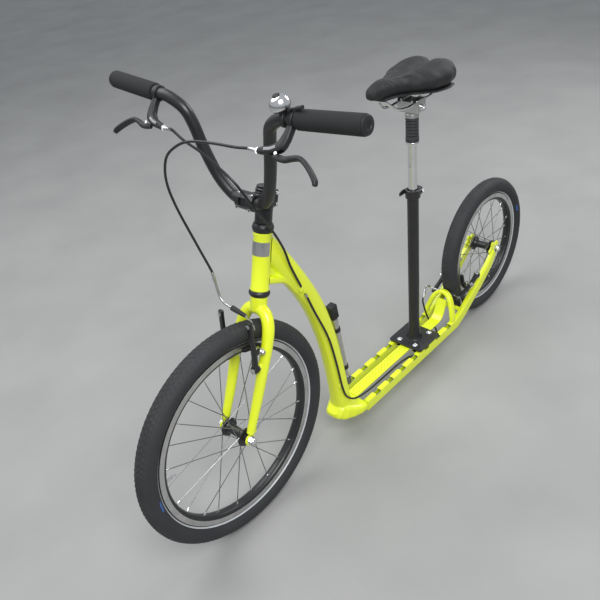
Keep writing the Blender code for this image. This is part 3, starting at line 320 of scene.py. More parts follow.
SPOKE = finish("spoke_wire", (0.30, 0.30, 0.30), (0.20, 0.20, 0.20), 0.3, 0.32, 0.1, 40, 900, 0.00001,
    Metallic=1.0)
print(len(bpy.data.materials), "finishes so far")

# %% [markdown]
# ## Modelling helpers
# Most of a scooter is tubes, turned parts and small blocks. A tube is one circle that is extruded from
# station to station along a smooth path; a turned part is an outline spun round its axis; a block is a
# cube with its edges bevelled. Welded frames start as overlapping tubes, which a fine voxel remesh runs
# together, so that each joint gets the small fillet of a real weld.

# %% Objects


def piece(name, bm, mat, body, hides=(), sharp=35):
    bmesh.ops.remove_doubles(bm, verts=bm.verts, dist=1e-6)
    bmesh.ops.recalc_face_normals(bm, faces=bm.faces)
    mesh = bpy.data.meshes.new(name)
    bm.to_mesh(mesh)
    bm.free()
    mesh.materials.append(mat)
    mesh.shade_smooth()
    mesh.set_sharp_from_angle(angle=math.radians(sharp))
    obj = bpy.data.objects.new(name, mesh)
    bpy.context.scene.collection.objects.link(obj)
    if body:
        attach(obj, body)
    if hides:
        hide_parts(*hides)
    return obj


def helper(bm):
    """An object that only serves a Boolean or a remesh and is then gone."""
    return piece("helper", bm, STEEL, None)


def bake_modifiers(obj, sharp=None):
    bpy.context.view_layer.update()
    graph = bpy.context.evaluated_depsgraph_get()
    mesh = bpy.data.meshes.new_from_object(obj.evaluated_get(graph))
    obj.modifiers.clear()
    obj.data = mesh
    mesh.shade_smooth()
    if sharp:
        mesh.set_sharp_from_angle(angle=math.radians(sharp))


def combine(obj, operation, helpers, sharp=35):
    """One Boolean after the other, applied at once."""
    for other in helpers:
        modifier = obj.modifiers.new(operation.lower(), "BOOLEAN")
        modifier.operation = operation
        modifier.object = other
    bake_modifiers(obj, sharp)
    for other in helpers:
        bpy.data.objects.remove(other, do_unlink=True)
    return obj


def weld(obj, helpers, voxel, rounds):
    """Runs overlapping solids together and rounds the joints."""
    if helpers:
        combine(obj, "UNION", helpers)
    remesh = obj.modifiers.new("weld", "REMESH")
    remesh.mode = "VOXEL"
    remesh.voxel_size = voxel
    ease = obj.modifiers.new("ease", "SMOOTH")
    ease.factor = 0.5
    ease.iterations = rounds
    bake_modifiers(obj)
    return obj


# %% Shapes


def frame_along(direction, side=X):
    along = direction.normalized()
    across = side - along * side.dot(along)
    if across.length < 0.01:
        across = Y - along * Y.dot(along)
    across.normalize()
    return across, along.cross(across).normalized()


def smooth(points, steps):
    """A Catmull-Rom curve through the points."""
    ends = [2 * points[0] - points[1], *points, 2 * points[-1] - points[-2]]
    curve = []
    for a, b, c, d in zip(ends[:-3], ends[1:-2], ends[2:-1], ends[3:]):
        for i in range(steps):
            t = i / steps
            bend = (2 * a - 5 * b + 4 * c - d) * t * t + (3 * b - a - 3 * c + d) * t**3
            curve.append((2 * b + (c - a) * t + bend) / 2)
    return curve + [points[-1].copy()]


def spread(values, steps):
    out = []
    for a, b in zip(values[:-1], values[1:]):
        out += [a + (b - a) * (1 - math.cos(math.pi * i / steps)) / 2 for i in range(steps)]
    return out + [values[-1]]


def tube(bm, path, half_a, half_b=None, count=24, power=2.0, side=X):
    """One oval, extruded from point to point. A power above 2 squares it off."""
    half_b = half_a if half_b is None else half_b
    sizes_a = list(half_a) if isinstance(half_a, (list, tuple)) else [half_a] * len(path)
    sizes_b = list(half_b) if isinstance(half_b, (list, tuple)) else [half_b] * len(path)
    unit = bm.verts.layers.float_vector.get("unit") or bm.verts.layers.float_vector.new("unit")
    verts = bmesh.ops.create_circle(bm, segments=count, radius=1)["verts"]
    for vert in verts:
        x, y = (math.copysign(abs(c) ** (2 / power), c) for c in vert.co.xy)
        vert[unit] = (x, y, 0)
    edges = list({edge for vert in verts for edge in vert.link_edges})
    across = None
    start = edges
    for i, point in enumerate(path):
        if i:
            grown = bmesh.ops.extrude_edge_only(bm, edges=edges)["geom"]
            verts = [g for g in grown if isinstance(g, bmesh.types.BMVert)]
            edges = [g for g in grown if isinstance(g, bmesh.types.BMEdge)]
            ring = set(verts)
            edges = [e for e in edges if e.verts[0] in ring and e.verts[1] in ring]
        ahead = path[min(i + 1, len(path) - 1)] - path[max(i - 1, 0)]
        across, other = frame_along(ahead, across or side)
        for vert in verts:
            vert.co = point + across * (sizes_a[i] * vert[unit].x) + other * (sizes_b[i] * vert[unit].y)
    for ends in (start, edges):
        bmesh.ops.contextual_create(bm, geom=ends)


def lathe(bm, outline, centre, axis, steps=48, side=Z):
    across, _ = frame_along(axis, side)
    verts = [bm.verts.new(centre + across * r + axis.normalized() * h) for r, h in outline]
    edges = [bm.edges.new(pair) for pair in zip(verts[:-1], verts[1:])]
    if outline[0][0] > 0 or outline[-1][0] > 0:
        edges.append(bm.edges.new((verts[-1], verts[0])))
    bmesh.ops.spin(bm, geom=verts + edges, cent=centre, axis=axis, angle=2 * math.pi, steps=steps,
        use_merge=True)
    bmesh.ops.remove_doubles(bm, verts=bm.verts, dist=1e-6)


def block(bm, centre, size, axes=WORLD_AXES, bevel=0.0, segments=3):
    corners = bmesh.ops.create_cube(bm, size=1)["verts"]
    bmesh.ops.scale(bm, verts=corners, vec=size)
    if bevel:
        edges = list({edge for vert in corners for edge in vert.link_edges})
        corners = bmesh.ops.bevel(bm, geom=edges, offset=bevel, segments=segments, profile=0.5,
            affect="EDGES", material=-1)["verts"]
    turn = Matrix(axes).transposed().to_4x4()
    bmesh.ops.transform(bm, matrix=Matrix.Translation(centre) @ turn, verts=corners)


def rod(bm, centre, axis, radius, length, steps=24, edge=0.0):
    """A turned rod from centre along the axis, with both edges eased."""
    edge = edge or min(radius, length) * 0.12
    lathe(bm, [(0, 0), (radius - edge, 0), (radius, edge), (radius, length - edge),
        (radius - edge, length), (0, length)], centre, axis, steps)


def made(shape, *args, **kwargs):
    """A helper object that holds one shape."""
    bm = bmesh.new()
    shape(bm, *args, **kwargs)
    return helper(bm)


def turned(name, mat, outline, centre, axis, body, hides=(), steps=48, side=Z, sharp=35):
    bm = bmesh.new()
    lathe(bm, outline, centre, axis, steps, side)
    return piece(name, bm, mat, body, hides, sharp)


def socket_bolt(bm, centre, axis, radius, height):
    """A cap screw: a turned head with a round socket sunk in."""
    lathe(bm, [(0, 0), (radius, 0), (radius, height * 0.8), (radius * 0.88, height),
        (radius * 0.5, height), (radius * 0.5, height * 0.35), (0, height * 0.35)], centre, axis, 18)


print("helpers ready")

# %% [markdown]
# ## Wheels
# A tyre is a horseshoe outline spun round the hub. Its tread is three rows of slanted blocks on each side
# of the middle, and its pale line is a ring that stands a hair proud of the wall. The rim is black with a
# bright machined track on each side for the brake pads. 96 steps make a wheel look round from near by.

# %% Tyre
FRONT_BEAD = 0.203
REAR_BEAD = 0.1525
WHEEL_STEPS = 96
LUG_ANGLE = math.radians(34)
LUG_PITCH = 0.0125
LUG_LENGTH = 0.0062
LUG_THICK = 0.0012


def tyre_outline(bead):
    half = [(0.0004, 0.0100), (0.0075, 0.0102), (0.0120, 0.0158), (0.0180, 0.0208), (0.0250, 0.0232),
        (0.0310, 0.0225)]
    half += [(0.0375, 0.0196), (0.0420, 0.0152), (0.0450, 0.0098), (0.0463, 0.0050)]
    inner = [(0.0428, 0.0), (0.0400, 0.0110), (0.0330, 0.0180), (0.0200, 0.0190), (0.0110, 0.0115),
        (0.0075, 0.0080), (0.0004, 0.0076)]
    outer = [(bead + r, x) for r, x in half] + [(bead + 0.0466, 0.0)]
    outer += [(r, -x) for r, x in reversed(outer[:-1])]
    under = [(bead + r, x) for r, x in inner]
    return outer + [(r, -x) for r, x in reversed(under[1:])] + under


def lugs(bm, hub, bead):
    """Slanted blocks from the middle of the tread down each shoulder, in three rows a side."""
    radius = bead + 0.047
    count = round(2 * math.pi * radius / LUG_PITCH)
    rows = [(0.0035, 0.0064, 0.0464, 0.10), (0.0100, 0.0060, 0.0443, 0.50),
        (0.0158, 0.0056, 0.0405, 0.85)]
    for i in range(count):
        for side in (1, -1):
            for row, (x, width, rise, lean) in enumerate(rows):
                angle = 2 * math.pi * (i + 0.25 * row + (0.5 if side < 0 else 0)) / count
                out = Vector((0, math.cos(angle), math.sin(angle)))
                along = Vector((0, -math.sin(angle), math.cos(angle)))
                normal = (out * math.cos(lean) + X * side * math.sin(lean)).normalized()
                aside = normal.cross(along) * side
                slope = (along * math.cos(LUG_ANGLE) + aside * math.sin(LUG_ANGLE)).normalized()
                place = hub + out * (bead + rise) + X * side * x
                block(bm, place, (LUG_LENGTH, width, LUG_THICK), (slope, normal.cross(slope), normal))


def tyre(prefix, hub, bead):
    body = prefix + "_wheel"
    turned(prefix + "_tyre_carcass", RUBBER, tyre_outline(bead), hub, X, body,
        [prefix + "_tyre"], WHEEL_STEPS, -Z, 50)
    bm = bmesh.new()
    lugs(bm, hub, bead)
    piece(prefix + "_tyre_tread", bm, TREAD, body, sharp=30)
    bm = bmesh.new()
    for side in (1, -1):
        band = [(bead + 0.0072, 0.0106), (bead + 0.0098, 0.0133), (bead + 0.0101, 0.0131),
            (bead + 0.0078, 0.0103)]
        lathe(bm, [(r, x * side) for r, x in band], hub, X, WHEEL_STEPS, -Z)
    piece(prefix + "_tyre_band", bm, STRIPE, body)


tyre("front", FRONT_HUB, FRONT_BEAD)
tyre("rear", REAR_HUB, REAR_BEAD)
print("tyres done")

# %% Rim, spokes and hub
SPOKES = 24
HUB_HALF_WIDTH = 0.0345
FLANGE_RADIUS = 0.0175
SPOKE_RADIUS = 0.00095
SPOKE_SWEEP = math.radians(62)
VALVE_ANGLE = math.radians(174)


def rim_outline(bead):
    half = [(bead - 0.0005, 0.0101), (bead + 0.0050, 0.0101), (bead + 0.0057, 0.0108),
        (bead + 0.0055, 0.0120), (bead - 0.0080, 0.0121)]
    half += [(bead - 0.0100, 0.0114), (bead - 0.0130, 0.0090), (bead - 0.0145, 0.0060),
        (bead - 0.0150, 0.0)]
    top = [(bead - 0.0030, 0.0040), *half]
    return top + [(r, -x) for r, x in reversed(top[:-1])]


def spoke_ends(k, hub, rim_radius):
    side = 1 if k % 2 else -1
    leading = 1 if (k // 2) % 2 else -1
    rim_angle = 2 * math.pi * k / SPOKES
    hub_angle = rim_angle + leading * SPOKE_SWEEP
    start_x = side * (0.0243 if leading > 0 else 0.0270)
    start = hub + Vector((start_x, math.cos(hub_angle) * FLANGE_RADIUS,
        math.sin(hub_angle) * FLANGE_RADIUS))
    end = hub + Vector((side * 0.003, math.cos(rim_angle) * rim_radius, math.sin(rim_angle) * rim_radius))
    return start, end


def spoked_wheel(prefix, hub, bead):
    body = prefix + "_wheel"
    turned(prefix + "_rim_body", BLACK, rim_outline(bead), hub, X, body, [prefix + "_rim"],
        WHEEL_STEPS, -Z, 40)
    bm = bmesh.new()
    for side in (1, -1):
        face = [(bead + 0.0050, 0.01195), (bead + 0.0048, 0.01225), (bead - 0.0062, 0.01225),
            (bead - 0.0066, 0.01195)]
        lathe(bm, [(r, x * side) for r, x in face], hub, X, WHEEL_STEPS, -Z)
    piece(prefix + "_brake_track", bm, TRACK, body)
    bm = bmesh.new()
    for k in range(SPOKES):
        start, end = spoke_ends(k, hub, bead - 0.0158)
        along = (end - start).normalized()
        head = start - X * math.copysign(0.0022, start.x)
        tube(bm, [head, start, start + along * 0.006, end], SPOKE_RADIUS, count=8)
        lathe(bm, [(0, 0), (0.0018, 0), (0.0018, 0.0008), (0, 0.0010)], head, -X if start.x < 0 else X,
            10)
    piece(prefix + "_spokes", bm, SPOKE, body)
    bm = bmesh.new()
    for k in range(SPOKES):
        start, end = spoke_ends(k, hub, bead - 0.0138)
        along = (end - start).normalized()
        lathe(bm, [(0, 0), (0.0016, 0), (0.0020, 0.0015), (0.0020, 0.0100), (0, 0.0100)],
            end - along * 0.0095, along, 10)
    out = Vector((0, math.cos(VALVE_ANGLE), math.sin(VALVE_ANGLE)))
    lathe(bm, [(0, 0), (0.0024, 0), (0.0024, 0.006), (0.0033, 0.008), (0.0033, 0.024), (0, 0.024)],
        hub + out * (bead - 0.0400), out, 14)
    piece(prefix + "_nipples_and_valve", bm, CHROME, body)
    half = [(0.0053, HUB_HALF_WIDTH), (0.0086, HUB_HALF_WIDTH), (0.0090, HUB_HALF_WIDTH - 0.0006),
        (0.0095, 0.0290), (0.0120, 0.0284)]
    half += [(0.0200, 0.0278), (0.0206, 0.0268), (0.0206, 0.0243), (0.0198, 0.0234), (0.0145, 0.0222),
        (0.0115, 0.0180), (0.0104, 0.0100)]
    outline = [(r, -x) for r, x in half] + [(r, x) for r, x in reversed(half)]
    turned(prefix + "_hub_shell", BLACK, outline, hub, X, body, [prefix + "_hub_and_spokes"],
        40)


spoked_wheel("front", FRONT_HUB, FRONT_BEAD)
spoked_wheel("rear", REAR_HUB, REAR_BEAD)

# %% Plain patches on the tyres


def wall_patch(prefix, hub, bead, angle):
    """A plain label moulded into the wall: a short strip of a ring."""
    bm = bmesh.new()
    turn_to = Vector((0, math.cos(angle), math.sin(angle)))
    outline = [(bead + 0.0160, 0.0199), (bead + 0.0200, 0.0221), (bead + 0.0197, 0.0224),
        (bead + 0.0157, 0.0202)]
    verts = [bm.verts.new(hub + turn_to * r + X * x) for r, x in outline]
    face = bm.faces.new(verts)
    bmesh.ops.spin(bm, geom=[face], cent=hub, axis=X, angle=math.radians(7), steps=6)
    bmesh.ops.contextual_create(bm, geom=[e for e in bm.edges if e.is_boundary])
    piece(prefix + "_tyre_patch", bm, BLUE, prefix + "_wheel")


wall_patch("front", FRONT_HUB, FRONT_BEAD, math.radians(178))
wall_patch("rear", REAR_HUB, REAR_BEAD, math.radians(15))

# %% Axles with domed nuts
DROPOUT_INNER = 0.0373
DROPOUT_THICK = 0.0048


def axle(prefix, hub, body):
    bm = bmesh.new()
    rod(bm, hub - X * 0.046, X, 0.0049, 0.092, 20)
    for side in (1, -1):
        lathe(bm, [(0, 0), (0.0080, 0), (0.0084, 0.0004), (0.0084, 0.0022), (0, 0.0022)],
            hub + X * side * (DROPOUT_INNER - 0.0025), X * side, 24)
        face = hub + X * side * (DROPOUT_INNER + DROPOUT_THICK + 0.0003)
        lathe(bm, [(0, 0), (0.0105, 0), (0.0105, 0.0012), (0, 0.0014)], face, X * side, 30)
        lathe(bm, [(0, 0.0012), (0.0088, 0.0012), (0.0088, 0.0070), (0.0080, 0.0078), (0, 0.0078)], face,
            X * side, 6)
        dome = [(0, 0.006)] + [(0.0076 * math.cos(a),
            0.0070 + 0.0062 * math.sin(a)) for a in [i * math.pi / 16 for i in range(8)]]
        lathe(bm, dome + [(0, 0.0132)], face, X * side, 24)
    piece(prefix + "_axle_and_nuts", bm, CHROME, body, [prefix + "_axle"])


axle("front", FRONT_HUB, "steering")
axle("rear", REAR_HUB, "frame")
print("wheels done")

# %% [markdown]
# ## Fork
# Two tapering legs curve down from the crown; the steerer runs up through the head tube, and flat plates
# hold the axle. They start as overlapping tubes. The remesh welds them, and the axle slots are cut
# afterwards.

# %% Fork


def front_brake_pivot(side):
    return at(0.0405 * side, 0.062, 0.404)


def fork():
    half = [at(0.0396, 0.0035, 0.2640), at(0.0390, 0.014, 0.281), at(0.0400, 0.042, 0.336),
        at(0.0410, 0.068, 0.391)]
    half += [at(0.0405, 0.091, 0.438), at(0.0355, 0.107, 0.471), at(0.0225, 0.1165, 0.4915)]
    path = half + [at(0, 0.1195, 0.498)] + mirrored(half)[::-1]
    radii = [0.0080, 0.0092, 0.0108, 0.0116, 0.0122, 0.0126, 0.0132, 0.0138]
    radii = radii + radii[-2::-1]
    bm = bmesh.new()
    tube(bm, smooth(path, 5), spread(radii, 5), count=28, side=Y)
    obj = piece("fork_blades", bm, YELLOW, "steering", ["fork"])
    outline = [(0, 0.264), (0.0140, 0.2645), (0.0160, 0.268), (0.0172, 0.280), (0.0176, 0.2960),
        (0.0165, 0.2985), (0, 0.2985)]
    add = [made(lathe, outline, STEER_FOOT, STEER_UP, 32, STEER_FORWARD)]
    for side in (1, -1):
        inner = FRONT_HUB + X * side * DROPOUT_INNER
        add.append(made(rod, inner, X * side, 0.0128, DROPOUT_THICK, 32))
        add.append(made(rod, inner + Vector((0, 0.0115, 0.0165)), X * side, 0.0090, DROPOUT_THICK, 24))
        add.append(made(rod, front_brake_pivot(side) + Y * 0.012, -Y, 0.0066, 0.0170, 20))
    weld(obj, add, 0.00085, 4)
    cut = []
    for side in (1, -1):
        place = FRONT_HUB + X * side * (DROPOUT_INNER + DROPOUT_THICK / 2)
        cut.append(made(rod, place - X * 0.006, X, 0.0053, 0.012, 20))
        cut.append(made(block, place - Z * 0.010, (0.012, 0.0106, 0.020)))
        cut.append(made(rod, FRONT_HUB + X * side * DROPOUT_INNER + Vector((-0.01 * side, 0.0125,
            0.0190)), X * side, 0.0026, 0.03, 16))
    combine(obj, "DIFFERENCE", cut, 50)
    print("fork:", len(obj.data.polygons), "faces")


fork()
bm = bmesh.new()
rod(bm, steer(0, 0, 0.2990), STEER_UP, 0.0126, 0.2105, 32)
piece("steerer_tube", bm, BLACK, "steering")

# %% [markdown]
# ## Head tube, headset and stem
# These are turned parts on one axis: the painted head tube between two black cups, a spacer, and the stem
# with its cap. The stem's clamp is split by a faceplate with four screws.

# %% Head tube and headset
HEAD_BOTTOM = 0.3113
HEAD_TOP = 0.4297


def on_steerer(name, mat, outline, body, hides, sharp=35):
    return turned(name, mat, outline, STEER_FOOT, STEER_UP, body, hides, 56, STEER_FORWARD, sharp)


def cup_outline(low, high):
    middle_up = (low + high) / 2
    return [(0.0133, low), (0.0188, low), (0.0196, low + 0.0008), (0.0213, middle_up - 0.0022),
        (0.0216, middle_up - 0.0010), (0.0216, middle_up + 0.0010), (0.0213, middle_up + 0.0022),
        (0.0196, high - 0.0008), (0.0188, high), (0.0133, high)]


on_steerer("head_tube_shell", YELLOW, [(0.0150, HEAD_BOTTOM), (0.0188, HEAD_BOTTOM),
    (0.0193, HEAD_BOTTOM + 0.0006), (0.0193, HEAD_BOTTOM + 0.0045), (0.0181, HEAD_BOTTOM + 0.0075),
    (0.0181, HEAD_TOP - 0.0075), (0.0193, HEAD_TOP - 0.0045), (0.0193, HEAD_TOP - 0.0006),
    (0.0188, HEAD_TOP), (0.0150, HEAD_TOP)], "frame", ["head_tube"])
on_steerer("lower_cup", BLACK, cup_outline(0.2990, HEAD_BOTTOM - 0.0003), "frame",
    ["lower_headset_cup"])
on_steerer("upper_cup", BLACK, cup_outline(HEAD_TOP + 0.0003, 0.4475), "frame",
    ["upper_headset_cup"])
on_steerer("spacer", BLACK, [(0.0130, 0.4480), (0.0166, 0.4480), (0.0170, 0.4484), (0.0170, 0.4618),
    (0.0166, 0.4620), (0.0170, 0.4622), (0.0170, 0.4756), (0.0166, 0.4760), (0.0130, 0.4760)], "steering",
    ["steerer_spacer"], 20)


def badge():
    """A plain metal label bent round the front half of the head tube."""
    up = (HEAD_BOTTOM + HEAD_TOP) / 2 + 0.028
    bm = bmesh.new()
    rod(bm, steer(0, 0, up - 0.02), STEER_UP, 0.0188, 0.04, 96)
    obj = piece("badge_plate", bm, STEEL, "frame")
    combine(obj, "INTERSECT", [made(block, steer(0, 0.0170, up), (0.060, 0.040, 0.028), STEER_AXES, 0.003)])
    combine(obj, "DIFFERENCE", [made(rod, steer(0, 0, up - 0.03), STEER_UP, 0.0180, 0.06, 96)])


badge()

# %% Stem
SPACER_TOP = 0.4760
STEM_TOP = 0.5160
BAR_RADIUS = 0.0111
BAR_FORWARD = 0.042
BAR_UP = 0.4951
BAR_CENTRE = steer(0, BAR_FORWARD, BAR_UP)
CLAMP_RADIUS = 0.0172
CLAMP_WIDTH = 0.045


def stem():
    bm = bmesh.new()
    rod(bm, steer(0, 0, SPACER_TOP + 0.0003), STEER_UP, 0.0185, STEM_TOP - SPACER_TOP - 0.0004, 48)
    obj = piece("stem_body", bm, BLACK, "steering", ["stem"])
    add = [made(rod, BAR_CENTRE - X * CLAMP_WIDTH / 2, X, CLAMP_RADIUS, CLAMP_WIDTH, 40),
        made(tube, [steer(0, 0.004, BAR_UP - 0.001), steer(0, 0.022, BAR_UP - 0.0005),
        steer(0, 0.034, BAR_UP)], [0.0158, 0.0135, 0.0160], [0.0165, 0.0140, 0.0150], 28, 3.2, X),
        made(block, steer(0, -0.0200, BAR_UP), (0.022, 0.014, 0.034), STEER_AXES, 0.003)]
    weld(obj, add, 0.0007, 3)
    cut = [made(block, steer(0, BAR_FORWARD + 0.0199, BAR_UP), (0.06, 0.040, 0.05), STEER_AXES),
        made(rod, BAR_CENTRE - X * 0.03, X, BAR_RADIUS + 0.0002, 0.06, 40),
        made(block, steer(0, -0.022, BAR_UP), (0.0018, 0.030, 0.06), STEER_AXES)]
    combine(obj, "DIFFERENCE", cut, 40)
    bm = bmesh.new()
    rod(bm, BAR_CENTRE - X * CLAMP_WIDTH / 2, X, CLAMP_RADIUS, CLAMP_WIDTH, 40)
    face = piece("stem_faceplate_shell", bm, BLACK, "steering", ["stem_faceplate"])
    cut = [made(block, steer(0, BAR_FORWARD - 0.0197, BAR_UP), (0.06, 0.040, 0.05), STEER_AXES),
        made(rod, BAR_CENTRE - X * 0.03, X, BAR_RADIUS + 0.0002, 0.06, 40),
        made(block, steer(0, BAR_FORWARD + 0.0160, BAR_UP), (0.020, 0.006, 0.014), STEER_AXES)]
    combine(face, "DIFFERENCE", cut, 40)
    bm = bmesh.new()
    for x in (-0.0165, 0.0165):
        for up in (-0.0128, 0.0128):
            socket_bolt(bm, steer(x, BAR_FORWARD + 0.0085, BAR_UP + up), STEER_FORWARD, 0.0036, 0.0055)
    for up in (-0.0105, 0.0105):
        socket_bolt(bm, steer(0.0095, -0.0205, BAR_UP + up), X, 0.0036, 0.0045)
    piece("stem_screws", bm, CHROME, "steering")
    top = steer(0, 0, STEM_TOP + 0.0004)
    turned("stem_top_cap", BLACK, [(0, 0), (0.0165, 0), (0.0168, 0.0006), (0.0165, 0.0030),
        (0.0148, 0.0042), (0.0052, 0.0042), (0.0048, 0.0030), (0, 0.0030)], top, STEER_UP, "steering",
        ["stem_cap"], 48)
    bm = bmesh.new()
    socket_bolt(bm, top + STEER_UP * 0.0028, STEER_UP, 0.0040, 0.0034)
    piece("stem_top_screw", bm, CHROME, "steering")


stem()

# %% [markdown]
# ## Handlebar and grips
# One tube bends up and out from the clamp to the grips. The grips are foam: a soft sleeve with rounded
# ends and a pitted skin, closed by a flat plug.

# %% Handlebar
GRIP_INNER = 0.180
BAR_END = 0.3085
grip_start = at(0.145, 0.1255, 0.9085)
grip_end = at(BAR_END, 0.1300, 0.9205)
GRIP_ALONG = (grip_end - grip_start).normalized()


def on_grip(x, side=1):
    point = grip_start + GRIP_ALONG * ((x - grip_start.x) / GRIP_ALONG.x)
    return Vector((point.x * side, point.y, point.z))


def grip_axis(side):
    return Vector((GRIP_ALONG.x * side, GRIP_ALONG.y, GRIP_ALONG.z))


def handlebar():
    half = [BAR_CENTRE + X * 0.024, at(0.045, 0.147, 0.7300), at(0.068, 0.142, 0.762),
        at(0.087, 0.137, 0.815), at(0.099, 0.134, 0.862), at(0.112, 0.130, 0.890)]
    half = smooth([BAR_CENTRE, *half, on_grip(0.145), on_grip(0.17)], 6)
    half = [p for p in half if p.x > 0.0235 or p.x < 1e-6] + [on_grip(BAR_END)]
    bm = bmesh.new()
    tube(bm, mirrored(half)[:0:-1] + half, BAR_RADIUS, count=32, side=Z)
    piece("handlebar_tube", bm, BLACK, "steering", ["handlebar"])


handlebar()
for word, side in (("left", 1), ("right", -1)):
    axis = grip_axis(side)
    length = (on_grip(BAR_END) - on_grip(GRIP_INNER)).length
    sleeve = [(0.0113, 0), (0.0148, 0), (0.0160, 0.0008), (0.0165, 0.0030), (0.0165, length - 0.0030),
        (0.0160, length - 0.0008), (0.0150, length), (0.0113, length)]
    turned(f"foam_grip_{word}", FOAM, sleeve, on_grip(GRIP_INNER, side), axis, "steering",
        [f"grip_{word}"], 48)
    plug = [(0, 0), (0.0148, 0), (0.0152, 0.0006), (0.0149, 0.0020), (0.0128, 0.0034), (0.0070, 0.0036),
        (0.0060, 0.0026), (0, 0.0024)]
    turned(f"end_plug_{word}", PLASTIC, plug, on_grip(BAR_END, side) + axis * 0.0003, axis, "steering",
        [f"bar_plug_{word}"], 40)
print("bar done")

# %% [markdown]
# ## Brake levers and bell
# Each lever has a moulded body with a clamp ring, a blade that curves round two fingers, a bright barrel
# that adjusts the cable, and a plain grey inlay. The bell is a polished dome on a moulded foot, with a
# thumb lever.

# %% Brake levers
LEVER_DROP = math.radians(47.5)
LEVER_OUT = Vector((0, -math.cos(LEVER_DROP), -math.sin(LEVER_DROP)))
LEVER_NORMAL = X.cross(LEVER_OUT)
LEVER_CLAMP = 0.171
KNURLS = 12


def lever_point(x, out, side, lift=0.0):
    base = on_grip(LEVER_CLAMP, side)
    return Vector((x * side, base.y, base.z)) + LEVER_OUT * out + LEVER_NORMAL * lift


def lever_body(word, side):
    path = [lever_point(x, out, side) for x, out in ((0.1710, 0.010), (0.1705, 0.022), (0.1690, 0.034),
        (0.1640, 0.046), (0.1500, 0.054), (0.1320, 0.058), (0.1220, 0.060))]
    bm = bmesh.new()
    widths = spread([0.0060, 0.0070, 0.0085, 0.0095, 0.0075, 0.0062, 0.0050], 5)
    depths = spread([0.0075, 0.0075, 0.0075, 0.0080, 0.0080, 0.0060, 0.0050], 5)
    tube(bm, smooth(path, 5), widths, depths, 28, 2.8, X)
    obj = piece(f"lever_housing_{word}", bm, PLASTIC, "steering", [f"lever_body_{word}"])
    axis = grip_axis(side)
    clamp = on_grip(LEVER_CLAMP, side)
    weld(obj, [made(rod, clamp - axis * 0.0055, axis, 0.0148, 0.011, 40)], 0.0006, 3)
    cut = [made(rod, clamp - axis * 0.02, axis, 0.0113, 0.04, 40),
        made(block, lever_point(0.173, 0.0645, side), (0.048, 0.0280, 0.0098),
        (X, LEVER_OUT, LEVER_NORMAL))]
    combine(obj, "DIFFERENCE", cut, 40)
    bm = bmesh.new()
    start = lever_point(0.1225, 0.060, side)
    lathe(bm, [(0, 0), (0.0048, 0), (0.0048, 0.0040), (0.0040, 0.0046), (0.0040, 0.0066),
        (0.0036, 0.0070), (0.0036, 0.0125), (0, 0.0125)], start, -X * side, 18)
    for i in range(KNURLS):
        angle = 2 * math.pi * i / KNURLS
        knurl = start + LEVER_OUT * (0.0048 * math.cos(angle)) + LEVER_NORMAL * (0.0048 * math.sin(angle))
        block(bm, knurl - X * side * 0.0020, (0.0034, 0.0009, 0.0009), (X, LEVER_OUT, LEVER_NORMAL))
    for lift in (-0.0078, 0.0078):
        lathe(bm, [(0, -0.0008), (0.0030, -0.0008), (0.0030, 0.0008), (0, 0.0012)],
            lever_point(0.166, 0.0595, side, lift), LEVER_NORMAL * math.copysign(1, lift), 16)
    socket_bolt(bm, on_grip(LEVER_CLAMP, side) + LEVER_NORMAL * 0.0130 - LEVER_OUT * 0.005, LEVER_NORMAL,
        0.0030, 0.0040)
    piece(f"lever_barrel_{word}", bm, CHROME, "steering")
    bm = bmesh.new()
    spots = ((0.160, 0.0490), (0.150, 0.0540), (0.138, 0.0565))
    inlay = [lever_point(x, out, side, -0.0001) for x, out in spots]
    tube(bm, smooth([p - LEVER_NORMAL * 0.0068 for p in inlay], 4), 0.0026, 0.0016, 12, 3, LEVER_OUT)
    piece(f"lever_inlay_{word}", bm, GREY, "steering")


def lever_blade(word, side):
    spots = ((0.1570, 0.0625), (0.1700, 0.0640), (0.1820, 0.0640), (0.1980, 0.0590), (0.2110, 0.0575),
        (0.2260, 0.0640), (0.2410, 0.0740), (0.2520, 0.0835), (0.2560, 0.0905))
    path = smooth([lever_point(x, out, side) for x, out in spots], 5)
    broad = spread([0.0036, 0.0036, 0.0042, 0.0055, 0.0064, 0.0066, 0.0066, 0.0062, 0.0046], 5)
    deep = spread([0.0048, 0.0055, 0.0054, 0.0046, 0.0042, 0.0040, 0.0040, 0.0040, 0.0034], 5)
    bm = bmesh.new()
    tube(bm, path, broad, deep, 24, 2.6, LEVER_NORMAL)
    obj = piece(f"lever_blade_{word}", bm, PLASTIC, f"{word}_brake_lever",
        [f"brake_lever_{word}"], 50)
    weld(obj, [], 0.0006, 3)


for word, side in (("left", 1), ("right", -1)):
    lever_body(word, side)
    lever_blade(word, side)

# %% Bell
BELL_X = 0.154
bell_axis = (Z * 0.93 - Y * 0.25 - X * 0.12).normalized()
bell_foot = on_grip(BELL_X)


